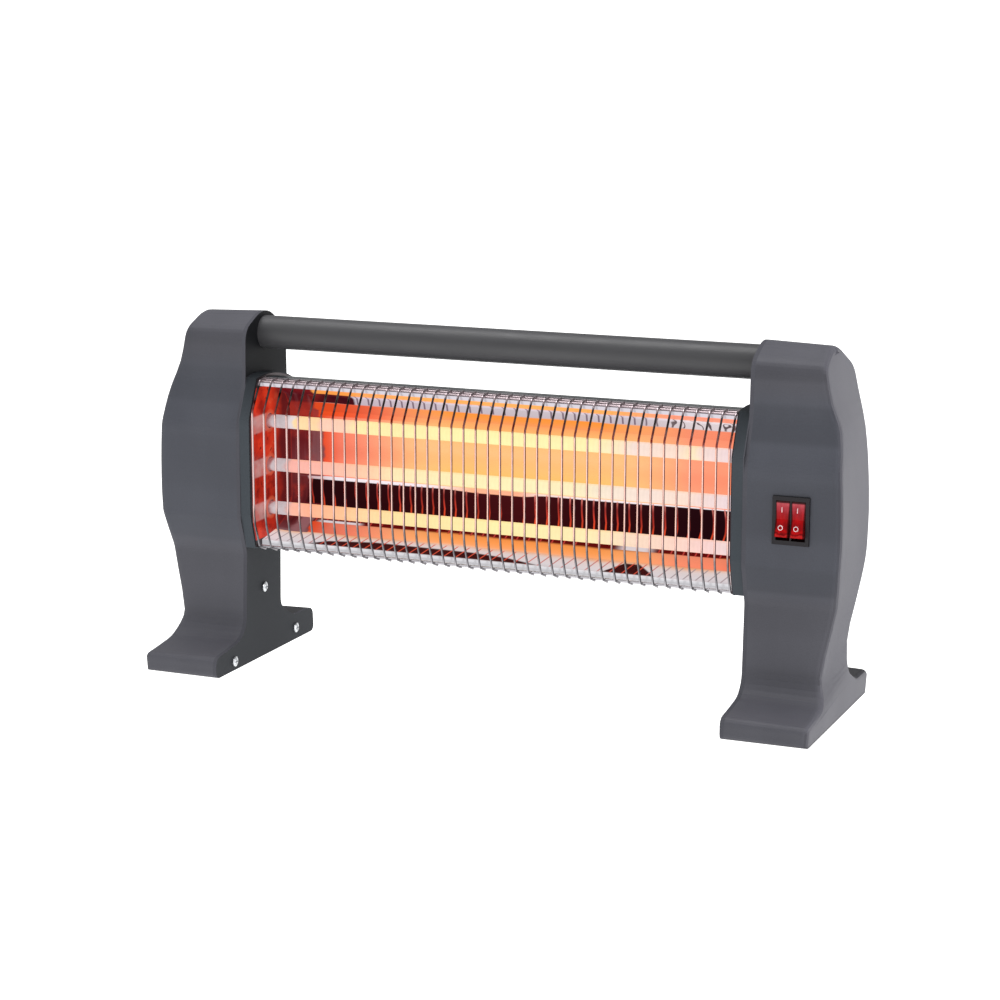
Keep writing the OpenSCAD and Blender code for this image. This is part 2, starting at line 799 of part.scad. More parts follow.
module handle_plugs() {
    plug_l = screw_l + 2;
    color([0.12, 0.12, 0.12])
        both_ends()
            difference() {
                rod_x(handle_end_x - plug_l, handle_end_x, handle_y, handle_z,
                    handle_d - 2 * handle_wall - 2 * seat_gap);
                rod_x(handle_end_x - plug_l - 1, handle_end_x + 1, handle_y, handle_z,
                    screw_d + 2 * pin_gap);
            }
}

// ---------------------------------------------------------------- rear cover and reflector

sheet_x = plate_x - seat_gap;
lip_room = reflector_t + 0.5;
front_inset = cover_inset + grille_step;
step_y = -lip_y + 10;
vent_rows = [body_mid_z + 22, body_mid_z - 22];
vents_half = floor((sheet_x - 24) / vent_pitch);

// The cover moved in by t: behind the lips, and stepped down in front on top, where the hooks lie
module cover_form(t) {
    difference() {
        intersection() {
            body_section(cover_inset + t);
            translate([-lip_y + t, 0])
                square([big, big]);
        }
        difference() {
            translate([-big, body_mid_z])
                square([big + step_y + t, big]);
            body_section(front_inset + t);
        }
    }
}

module rear_cover_section() {
    difference() {
        cover_form(0);
        cover_form(sheet_t);
        translate([-lip_y - 1, mouth_low - lip_room])
            square([sheet_t + 2, mouth_h + 2 * lip_room]);
    }
}

// One upright ventilation slot with round ends, cut through the back of the cover
module vent_slot(x, z) {
    translate([x, body_back, z])
        rotate([90, 0, 0]) {
            for (end = [-1, 1])
                translate([0, end * (vent_l - vent_w) / 2, 0])
                    cylinder(d = vent_w, h = 12, center = true);
            cube([vent_w, vent_l - vent_w, 12], center = true);
        }
}

module rear_cover() {
    color([0.2, 0.21, 0.22])
        difference() {
            along_x(-sheet_x, sheet_x)
                rear_cover_section();
            for (z = vent_rows, k = [-vents_half : vents_half])
                vent_slot(k * vent_pitch, z);
        }
}

// Polished side of the reflector, from the top lip back into the trough and out to the low lip
lip_over = 0.5;
trough_half = [
    [-lip_y - reflector_t, mouth_h / 2],
    [2, mouth_h / 2 - 4],
    [trough_back - 8, mouth_h / 2 - 12],
    [trough_back, mouth_h / 2 - 25]
];
trough_line = concat(
    [[-lip_y - reflector_t, section_top(-lip_y, front_inset) + lip_over]],
    [for (p = trough_half) [p[0], body_mid_z + p[1]]],
    [for (k = [len(trough_half) - 1 : -1 : 0]) [trough_half[k][0], body_mid_z - trough_half[k][1]]],
    [[-lip_y - reflector_t, section_low(-lip_y, cover_inset) - lip_over]]
);
// The back of the sheet: every point of the line moved left by the thickness
function sheet_back(line, t) =
    let(last = len(line) - 1)
    [for (i = [0 : last])
        let(
            a = unit(line[max(i, 1)] - line[max(i, 1) - 1]),
            b = unit(line[min(i, last - 1) + 1] - line[min(i, last - 1)]),
            p = line[i]
        )
        i == 0 || i == last ? p + turned(a, 90) * t : moved_corner(p, a, b, -t, -t)];

module reflector() {
    back = sheet_back(trough_line, reflector_t);
    color([0.85, 0.82, 0.78])
        along_x(-sheet_x, sheet_x)
            polygon(concat(trough_line, [for (k = [len(back) - 1 : -1 : 0]) back[k]]));
}

module end_plate() {
    color([0.8, 0.62, 0.5])
        difference() {
            along_x(plate_x, boss_x)
                body_section(1);
            for (z = tube_z)
                rod_x(plate_x - 1, boss_x + 1, -tube_front, z, tube_d + 1.4);
            for (at = plate_screw_at)
                rod_x(plate_x - 1, boss_x + 1, at[0], at[1], plate_screw_d + 2 * pin_gap);
        }
}
module left_end_plate() {
    mirror([1, 0, 0])
        end_plate();
}
module right_end_plate() {
    end_plate();
}

// ---------------------------------------------------------------- wire grille

// Rails lie on the step of the rear cover and under its front edge, the wires are welded over them
weld = 0.3;
wire_lift = seat_gap + rail_d + wire_d / 2 - weld;
wire_y = -grille_front + wire_d / 2;
hook_top = [
    [-lip_y - 1.6 + hook_l, section_top(-lip_y - 1.6 + hook_l, front_inset) + wire_lift],
    [-lip_y - 1.6, section_top(-lip_y, front_inset) + wire_lift]
];
hook_low = [
    [-lip_y - 7, section_low(-lip_y, cover_inset) - 0.3],
    [-lip_y - 7 + hook_l, section_low(-lip_y - 7 + hook_l, cover_inset) - wire_lift - 1.3]
];
// Centre line of a wire in (y, z), from the hook on top down to the hook underneath
wire_line = concat(
    hook_top,
    [[wire_y, body_mid_z + bow_h / 2], [wire_y, body_mid_z - bow_h / 2]],
    hook_low
);
wire_radii = [0, hook_r, kink_r, bow_r, hook_r, 0];
// Rails inside a hook that runs from p to q, as (y, z), near its corner and near its end
function rails_on(p, q, out) =
    [for (share = [0.3, 0.9])
        [mixed(p[0], q[0], share), mixed(p[1], q[1], share) + out * (rail_d + wire_d - 2 * weld) / 2]];
wires_half = floor((sheet_x - wire_d / 2) / wire_pitch - 0.5) + 0.5;

// Points along a line of straight stretches, in its plane, with every inner corner rounded
bend_step = 34;
function bent_points(line, radii) =
    let(last = len(line) - 1)
    [for (i = [0 : last])
        each i == 0 || i == last ? [line[i]]
        : let(turn = turn_between(line[i] - line[i - 1], line[i + 1] - line[i]))
            round_corner(line[i - 1], line[i], line[i + 1], radii[i], ceil(abs(turn) / bend_step))];

// Ring of a bent wire at point k, in the plane that halves the bend
wire_sides = 8;
function wire_ring(points, k, d) =
    let(
        last = len(points) - 1,
        before = unit(points[max(k, 1)] - points[max(k, 1) - 1]),
        after = unit(points[min(k, last - 1) + 1] - points[min(k, last - 1)]),
        across = unit(turned(before + after, 90)),
        stretch = 1 / (across * turned(before, 90))
    )
    [for (s = [0 : wire_sides - 1])
        let(a = 360 * (s + 0.5) / wire_sides)
        concat([d / 2 * sin(a)], points[k] + across * (stretch * cos(a) * d / 2))];

// Skin over rings of the same number of points, closed at both ends
module tube_skin(skin, sides) {
    rings = len(skin) / sides;
    polyhedron(
        points = skin,
        faces = concat(
            [[for (s = [0 : sides - 1]) s]],
            [[for (s = [sides - 1 : -1 : 0]) (rings - 1) * sides + s]],
            [for (k = [0 : rings - 2], s = [0 : sides - 1])
                let(
                    a = k * sides + s,
                    b = k * sides + (s + 1) % sides
                )
                each [[a, a + sides, b + sides], [a, b + sides, b]]]
        )
    );
}

module grille_wires() {
    points = bent_points(wire_line, wire_radii);
    skin = [for (k = [0 : len(points) - 1]) each wire_ring(points, k, wire_d)];
    color([0.82, 0.8, 0.8])
        for (k = [-wires_half : 1 : wires_half])
            translate([k * wire_pitch, 0, 0])
                tube_skin(skin, wire_sides);
}

module grille_rails() {
    rail_x = wires_half * wire_pitch + wire_d / 2;
    color([0.82, 0.8, 0.8])
        for (at = concat(rails_on(hook_top[1], hook_top[0], -1), rails_on(hook_low[0], hook_low[1], 1)))
            rod_x(-rail_x, rail_x, at[0], at[1], rail_d);
}

// ---------------------------------------------------------------- rocker switch

divider_t = 1;
mouth_w = 2 * (rocker_w + 2 * move_gap) + divider_t;
switch_mouth_h = rocker_h + 3.2;
frame_side = 1.2;
frame_w = mouth_w + 2 * frame_side;
frame_h = switch_mouth_h + 2.8;
frame_back_t = 1.6;
pivot_y = pocket_y + 3.4;
rocker_pin_d = 2.4;
rocker_pin_out = 0.7;
rocker_x = (rocker_w + 2 * move_gap + divider_t) / 2;
switch_blade_at = [-8, 0, 8];

module switch_frame() {
    color([0.1, 0.1, 0.1])
        translate([switch_x, 0, switch_z])
            difference() {
                union() {
                    translate([-bezel_w / 2, pocket_y - bezel_t, -bezel_h / 2])
                        cube([bezel_w, bezel_t, bezel_h]);
                    translate([-frame_w / 2, pocket_y - 1, -frame_h / 2])
                        cube([frame_w, switch_depth + 1, frame_h]);
                }
                for (side = [-1, 1])
                    translate([
                        side * rocker_x - rocker_w / 2 - move_gap,
                        pocket_y - bezel_t - 1,
                        -switch_mouth_h / 2
                    ])
                        cube([
                            rocker_w + 2 * move_gap,
                            bezel_t + switch_depth - frame_back_t + 1,
                            switch_mouth_h
                        ]);
                rod_x(-mouth_w / 2 - frame_side - 1, mouth_w / 2 + frame_side + 1, pivot_y, 0,
                    rocker_pin_d + 2 * pin_gap);
                for (side = [-1, 1], z = switch_blade_at)
                    translate([
                        side * rocker_x - blade_w / 2 - 0.1,
                        pocket_y,
                        z - blade_t / 2 - 0.1
                    ])
                        cube([blade_w + 0.2, switch_depth + 1, blade_t + 0.2]);
            }
}

// Side view of a rocker round its pivot, halfway between on and off
rocker_half = [
    [-6.8, 0],
    [-8.3, rocker_h / 2],
    [-1.5, rocker_h / 2 + 0.2],
    [4.5, 7],
    [8, 2.5]
];
module rocker(side) {
    profile = concat(
        rocker_half,
        [for (k = [len(rocker_half) - 1 : -1 : 1]) [rocker_half[k][0], -rocker_half[k][1]]]
    );
    color([0.75, 0.08, 0.08])
        translate([switch_x + side * rocker_x, pivot_y, switch_z])
            rotate([-rocker_throw / 2, 0, 0]) {
                along_x(-rocker_w / 2, rocker_w / 2)
                    polygon(profile);
                rod_x(-rocker_w / 2 - rocker_pin_out, rocker_w / 2 + rocker_pin_out, 0, 0, rocker_pin_d);
            }
}
module left_rocker() {
    rocker(-1);
}
module right_rocker() {
    rocker(1);
}

module switch_terminals() {
    color([0.8, 0.78, 0.72])
        for (side = [-1, 1], z = switch_blade_at)
            translate([
                switch_x + side * rocker_x - blade_w / 2,
                pocket_y + switch_depth - frame_back_t - 1.5,
                switch_z + z - blade_t / 2
            ])
                cube([blade_w, 13, blade_t]);
}

// ---------------------------------------------------------------- tip-over switch, left leg

// Everything here is drawn for the +X leg and mirrored into the -X one
tip_cheek = 1.5;
tip_plate_t = 2.5;
tip_l = 24;
tip_base_x = post_x + seat_gap;
tip_reach = 17;
tip_pivot_x = tip_base_x + tip_reach;
tip_plate_side = 5;
tip_plate_low = 6;
tip_w = tip_gap + 2 * tip_cheek;
tip_cheek_h = 7;
contact_t = 0.8;
contact_w = 5;
contact_y = 2.6;

module tip_switch_bracket() {
    color([0.9, 0.88, 0.82])
        mirror([1, 0, 0])
            difference() {
                union() {
                    translate([tip_base_x, -post_gap / 2 - tip_plate_side, post_z - tip_plate_low])
                        cube([
                            tip_plate_t,
                            post_gap + 2 * tip_plate_side,
                            tip_pivot_z - post_z + tip_cheek_h + tip_plate_low
                        ]);
                    for (side = [-1, 1])
                        translate([
                            tip_base_x,
                            side * (tip_gap + tip_cheek) / 2 - tip_cheek / 2,
                            tip_pivot_z - tip_cheek_h
                        ])
                            cube([tip_l, tip_cheek, 2 * tip_cheek_h + tip_plate_t]);
                    translate([tip_base_x, -tip_w / 2, tip_pivot_z + tip_cheek_h])
                        cube([tip_l, tip_w, tip_plate_t]);
                }
                translate([tip_pivot_x, tip_w, tip_pivot_z])
                    rotate([90, 0, 0])
                        cylinder(d = tip_pin_d + 2 * pin_gap, h = 2 * tip_w);
                for (side = [-1, 1]) {
                    rod_x(tip_base_x - 1, tip_base_x + tip_plate_t + 1, side * post_gap / 2, post_z,
                        post_screw_d + 2 * pin_gap);
                    translate([
                        tip_pivot_x - contact_w / 2 - 0.1,
                        side * contact_y - contact_t / 2 - 0.1,
                        tip_pivot_z + tip_cheek_h - 1
                    ])
                        cube([contact_w + 0.2, contact_t + 0.2, tip_plate_t + 2]);
                }
            }
}

module tip_switch_pin() {
    color([0.75, 0.75, 0.77])
        mirror([1, 0, 0])
            translate([tip_pivot_x, tip_w / 2 + 0.6, tip_pivot_z])
                rotate([90, 0, 0])
                    cylinder(d = tip_pin_d, h = tip_w + 1.2);
}

// Hub, arm, bob and the finger that reaches up between the contacts
module tip_switch_pendulum() {
    hub_l = tip_gap - 2 * move_gap;
    color([0.8, 0.62, 0.3])
        mirror([1, 0, 0])
            translate([tip_pivot_x, 0, tip_pivot_z])
                difference() {
                    union() {
                        rotate([90, 0, 0])
                            cylinder(d = tip_pin_d + 4.6, h = hub_l, center = true);
                        translate([-1.5, -1.5, -tip_arm])
                            cube([3, 3, tip_arm]);
                        translate([0, 0, -tip_arm - bob_h / 2])
                            cylinder(d = bob_d, h = bob_h);
                        translate([-1.2, -1.2, 0])
                            cube([2.4, 2.4, tip_cheek_h - 0.8]);
                    }
                    rotate([90, 0, 0])
                        cylinder(d = tip_pin_d + 2 * pin_gap, h = hub_l + 2, center = true);
                }
}

module tip_switch_contacts() {
    color([0.85, 0.6, 0.35])
        mirror([1, 0, 0])
            for (side = [-1, 1])
                difference() {
                    translate([
                        tip_pivot_x - contact_w / 2,
                        side * contact_y - contact_t / 2,
                        tip_pivot_z + tip_cheek_h - 2.2
                    ])
                        cube([contact_w, contact_t, 14]);
                    translate([tip_pivot_x, side * contact_y, tip_pivot_z + tip_cheek_h + 9])
                        rotate([90, 0, 0])
                            cylinder(d = 1.5, h = 4, center = true);
                }
}

// Screws that hold a piece of thickness t on the posts, with their heads on its far side
module post_screws(t) {
    head_x = tip_base_x + t;
    for (side = [-1, 1])
        translate([head_x, 0, 0])
            mirror([1, 0, 0])
                screw_x(0, side * post_gap / 2, post_z, post_screw_d, 5, 1.8, t + post_l - 1);
}

module tip_switch_screws() {
    color([0.7, 0.7, 0.72])
        mirror([1, 0, 0])
            post_screws(tip_plate_t);
}

// ---------------------------------------------------------------- terminal block, right leg

block_foot_t = 4;
block_l = 13;
block_h = 16;
block_poles = [-8.2, 0, 8.2];
block_pole_w = 7.6;
clamp_d = 3.4;

module terminal_block() {
    color([0.9, 0.9, 0.86])
        difference() {
            union() {
                translate([tip_base_x, -post_gap / 2 - 4, post_z - 5])
                    cube([block_foot_t, post_gap + 8, 10]);
                for (y = block_poles)
                    translate([tip_base_x, y - block_pole_w / 2, post_z - block_h / 2])
                        cube([block_l, block_pole_w, block_h]);
            }
            for (y = block_poles) {
                translate([tip_base_x + 5.5, y, post_z - block_h])
                    cylinder(d = 3.6, h = 2 * block_h);
                rod_x(tip_base_x + 5.5, tip_base_x + block_l + 1, y, post_z + 3.6, clamp_d + 2 * pin_gap);
                rod_x(tip_base_x + 5.5, tip_base_x + block_l + 1, y, post_z - 3.6, clamp_d + 2 * pin_gap);
            }
            for (side = [-1, 1])
                rod_x(tip_base_x - 1, tip_base_x + block_foot_t + 1, side * post_gap / 2, post_z,
                    post_screw_d + 2 * pin_gap);
        }
}

// Two slotted clamp screws a pole, and the two screws that hold the block
module terminal_block_screws() {
    color([0.8, 0.65, 0.35]) {
        for (y = block_poles, z = [-3.6, 3.6])
            difference() {
                rod_x(tip_base_x + 7.6, tip_base_x + block_l - 0.8, y, post_z + z, clamp_d);
                translate([tip_base_x + block_l - 1.8, y - clamp_d, post_z + z - 0.35])
                    cube([2, 2 * clamp_d, 0.7]);
            }
        post_screws(block_foot_t);
    }
}

// ---------------------------------------------------------------- cord gland, right leg

module cord_gland() {
    seat_y = gland_y + seat_gap / 2;
    color([0.12, 0.12, 0.12])
        translate([gland_x, seat_y, gland_z])
            difference() {
                union() {
                    rotate([-90, 0, 0])
                        cylinder(d = gland_flange_d, h = 2.2);
                    rotate([90, 0, 0])
                        cylinder(d = gland_neck_d, h = 10);
                    translate([0, -leg_wall - 1, 0])
                        rotate([90, 0, 0])
                            cylinder(d = gland_neck_d + 2.6, h = 3);
                }
                translate([0, 10, 0])
                    rotate([90, 0, 0])
                        cylinder(d = gland_bore, h = 30);
            }
}

// ---------------------------------------------------------------- drawing

left_leg_shell();
right_leg_shell();
left_inner_cover();
right_inner_cover();
left_cover_screws();
right_cover_screws();
handle_tube();
handle_plugs();
handle_screws();
rear_cover();
reflector();
left_end_plate();
right_end_plate();
end_plate_screws();
quartz_tube_top();
quartz_tube_middle();
quartz_tube_bottom();
heating_coil_top();
heating_coil_middle();
heating_coil_bottom();
left_ceramic_caps();
right_ceramic_caps();
left_tube_terminals();
right_tube_terminals();
grille_wires();
grille_rails();
switch_frame();
left_rocker();
right_rocker();
switch_terminals();
tip_switch_bracket();
tip_switch_pin();
tip_switch_pendulum();
tip_switch_contacts();
tip_switch_screws();
terminal_block();
terminal_block_screws();
cord_gland();
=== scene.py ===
import math

import bmesh
import bpy
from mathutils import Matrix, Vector
from mathutils.bvhtree import BVHTree


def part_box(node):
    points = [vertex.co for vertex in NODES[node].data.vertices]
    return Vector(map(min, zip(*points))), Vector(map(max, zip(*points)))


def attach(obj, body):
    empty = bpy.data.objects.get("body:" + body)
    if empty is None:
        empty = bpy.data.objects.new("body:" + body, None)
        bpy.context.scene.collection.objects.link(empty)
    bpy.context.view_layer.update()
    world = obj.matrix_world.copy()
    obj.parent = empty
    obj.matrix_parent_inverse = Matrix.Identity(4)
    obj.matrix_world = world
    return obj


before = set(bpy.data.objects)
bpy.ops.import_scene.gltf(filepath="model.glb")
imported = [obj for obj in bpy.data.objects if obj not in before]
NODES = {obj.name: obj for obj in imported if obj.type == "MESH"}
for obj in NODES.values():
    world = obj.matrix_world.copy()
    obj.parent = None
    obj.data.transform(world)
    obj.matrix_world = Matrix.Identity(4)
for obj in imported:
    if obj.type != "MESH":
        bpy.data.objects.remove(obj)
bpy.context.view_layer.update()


# ---------------------------------------------------------------- small helpers

def rgb(r, g, b):
    """Screen colour, 0 to 255, as a linear colour with alpha."""
    out = []
    for v in (r, g, b):
        v = v / 255
        out.append(v / 12.92 if v <= 0.04045 else ((v + 0.055) / 1.055) ** 2.4)
    return (*out, 1.0)


def grey(v):
    """A plain number as a ramp colour."""
    return (v, v, v, 1.0)


class Finish:
    """A node material, built with short calls."""

    def __init__(self, name):
        self.m = bpy.data.materials.new(name)
        self.m.use_nodes = True
        self.t = self.m.node_tree
        self.t.nodes.clear()
        out = self.t.nodes.new("ShaderNodeOutputMaterial")
        self.p = self.t.nodes.new("ShaderNodeBsdfPrincipled")
        self.t.links.new(self.p.outputs["BSDF"], out.inputs["Surface"])
        co = self.t.nodes.new("ShaderNodeTexCoord")
        self.co = co.outputs["Object"]
        self.normal = co.outputs["Normal"]
        self.x, self.y, self.z = self.split(self.co)

    def split(self, vector):
        sep = self.t.nodes.new("ShaderNodeSeparateXYZ")
        self.t.links.new(vector, sep.inputs[0])
        return sep.outputs

    def put(self, socket, value):
        """Links an output to a socket, or sets the socket's own value."""
        if isinstance(value, bpy.types.NodeSocket):
            self.t.links.new(value, socket)
        else:
            socket.default_value = value

    def math(self, op, a, b=0.0, c=None):
        n = self.t.nodes.new("ShaderNodeMath")
        n.operation = op
        self.put(n.inputs[0], a)
        self.put(n.inputs[1], b)
        if c is not None:
            self.put(n.inputs[2], c)
        return n.outputs[0]

    def span(self, v, a, b, lo=0.0, hi=1.0, smooth=False):
        """v from a..b becomes lo..hi, held at the ends."""
        n = self.t.nodes.new("ShaderNodeMapRange")
        n.interpolation_type = "SMOOTHSTEP" if smooth else "LINEAR"
        self.put(n.inputs["Value"], v)
        n.inputs["From Min"].default_value = a
        n.inputs["From Max"].default_value = b
        n.inputs["To Min"].default_value = lo
        n.inputs["To Max"].default_value = hi
        return n.outputs[0]

    def noise(self, scale, detail=2.0, rough=0.5, stretch=None):
        """Noise on the object's own coordinates, scale in lumps per metre."""
        n = self.t.nodes.new("ShaderNodeTexNoise")
        n.inputs["Scale"].default_value = scale
        n.inputs["Detail"].default_value = detail
        n.inputs["Roughness"].default_value = rough
        src = self.co
        if stretch:
            m = self.t.nodes.new("ShaderNodeMapping")
            m.inputs["Scale"].default_value = stretch
            self.t.links.new(src, m.inputs[0])
            src = m.outputs[0]
        self.t.links.new(src, n.inputs["Vector"])
        return n.outputs["Fac"]

    def wave(self, scale, size, detail=2.0, stretch=None):
        """Noise centred on 0, size from peak to peak."""
        return self.span(self.noise(scale, detail, 0.5, stretch), 0.3, 0.7, -size / 2, size / 2)

    def ramp(self, fac, stops, kind="EASE"):
        n = self.t.nodes.new("ShaderNodeValToRGB")
        n.color_ramp.interpolation = kind
        e = n.color_ramp.elements
        while len(e) < len(stops):
            e.new(0.5)
        for el, (at, colour) in zip(e, sorted(stops, key=lambda s: s[0])):
            el.position = at
            el.color = colour
        self.put(n.inputs[0], fac)
        return n.outputs[0]

    def mix(self, fac, a, b, kind="MIX"):
        n = self.t.nodes.new("ShaderNodeMix")
        n.data_type = "RGBA"
        n.blend_type = kind
        self.put(n.inputs[0], fac)
        self.put(n.inputs[6], a)
        self.put(n.inputs[7], b)
        return n.outputs[2]

    def scaled(self, colour, factor):
        n = self.t.nodes.new("ShaderNodeVectorMath")
        n.operation = "SCALE"
        self.put(n.inputs[0], colour)
        self.put(n.inputs["Scale"], factor)
        return n.outputs[0]

    def bump(self, height, strength, distance, normal=None):
        n = self.t.nodes.new("ShaderNodeBump")
        n.inputs["Strength"].default_value = strength
        n.inputs["Distance"].default_value = distance
        self.put(n.inputs["Height"], height)
        if normal is not None:
            self.put(n.inputs["Normal"], normal)
        return n.outputs[0]

    def band(self, v, lo, hi, soft):
        """1 between lo and hi, with soft edges."""
        up = self.span(v, lo - soft, lo + soft, smooth=True)
        down = self.span(v, hi - soft, hi + soft, 1.0, 0.0, smooth=True)
        return self.math("MULTIPLY", up, down)

    def signed(self, v):
        """A ramp's level, of which 0.5 means no change, as -1 to 1."""
        return self.math("MULTIPLY_ADD", v, 2.0, -1.0)

    def times(self, level, mask, share):
        """level, changed by the given share where the mask is 1."""
        return self.math("MULTIPLY", level, self.math("MULTIPLY_ADD", mask, share, 1.0))

    def both(self, *masks):
        """Where all the masks meet."""
        out = masks[0]
        for m in masks[1:]:
            out = self.math("MULTIPLY", out, m)
        return out

    def set(self, **values):
        names = {
            "base": "Base Color", "metal": "Metallic", "rough": "Roughness",
            "normal": "Normal", "spec": "Specular IOR Level", "glow": "Emission Color",
            "power": "Emission Strength",
        }
        for k, v in values.items():
            self.put(self.p.inputs[names[k]], v)


# ---------------------------------------------------------------- plain finishes

GRAIN = 1500
GRAIN_DEPTH = 0.00025


def flowed_tone(f, slow, dark, light):
    """The slow changes of tone that the flow of the melt leaves."""
    flow = f.noise(26, 2, 0.5, stretch=(1.0, 1.0, 0.35))
    tone = f.math("MULTIPLY_ADD", flow, 0.35, f.math("MULTIPLY", slow, 0.65))
    return f.ramp(f.span(tone, 0.32, 0.68), [(0.0, dark), (1.0, light)])


def moulded_plastic(name, dark, light, grain=GRAIN, rough=(0.42, 0.54), spec=0.35):
    """Satin moulded plastic: a fine spark-eroded grain and slow changes of tone."""
    f = Finish(name)
    slow = f.noise(9, 3, 0.5)
    fine = f.noise(grain, 3, 0.6)
    colour = flowed_tone(f, slow, dark, light)
    speck = f.span(fine, 0.35, 0.65, 0.94, 1.05)
    grainy = f.bump(fine, 0.10, GRAIN_DEPTH)
    waves = f.bump(f.noise(40, 1, 0.4), 0.04, 0.001, grainy)
    f.set(base=f.scaled(colour, speck), normal=waves,
          rough=f.span(slow, 0.3, 0.7, *rough), spec=spec)
    return f.m


def painted_metal(name, dark, light, stretch, bare=None):
    """Stoved paint on steel: orange peel, faint streaks along the piece, and painted light and
    shade
    by its slope: lighter where it faces down or up, darker on its flanks.
    bare is the y in front of which the sheet on top is bright plated metal."""
    f = Finish(name)
    streak = f.noise(60, 3, 0.55, stretch=stretch)
    peel = f.noise(420, 2, 0.5)
    colour = f.ramp(f.span(streak, 0.3, 0.7), [(0.0, dark), (1.0, light)])
    up = f.split(f.normal)[2]
    # Painted light and shade by slope: the colour is raised where the sheet faces down or up.
    slope_painted_light = f.ramp(f.span(up, -1.0, 1.0), [
        (0.0, grey(0.75)), (0.15, grey(0.66)), (0.36, grey(0.52)), (0.62, grey(0.48)),
        (0.80, grey(0.52)), (0.97, grey(0.66)),
    ])
    colour = f.scaled(colour, f.math("MULTIPLY", slope_painted_light, 2.0))
    rough = f.span(f.noise(30, 2), 0.3, 0.7, 0.36, 0.48)
    if bare is None:
        f.set(base=colour)
    else:
        strip = f.both(f.span(f.y, bare + 0.0003, bare), f.span(f.z, 0.199, 0.201))
        plated = f.ramp(f.span(streak, 0.3, 0.7),
                        [(0.0, rgb(150, 144, 148)), (1.0, rgb(176, 168, 172))])
        f.set(base=f.mix(strip, colour, plated), metal=f.math("MULTIPLY", strip, 0.6))
    f.set(normal=f.bump(peel, 0.10, 0.0004), rough=rough, spec=0.35)
    return f.m


def bright_metal(name, dark, light, scale):
    """Bare bright metal with fine marks, scale in marks per metre."""
    f = Finish(name)
    n = f.noise(scale, 3, 0.6)
    f.set(
        base=f.ramp(f.span(n, 0.3, 0.7), [(0.0, dark), (1.0, light)]),
        metal=1.0,
        rough=f.span(f.noise(scale / 3, 2), 0.3, 0.7, 0.16, 0.32),
        normal=f.bump(n, 0.05, 0.0002),
    )
    return f.m


LEG_DARK, LEG_LIGHT = rgb(71, 71, 77), rgb(78, 78, 84)
LEG_RAMP_TOP = 0.270


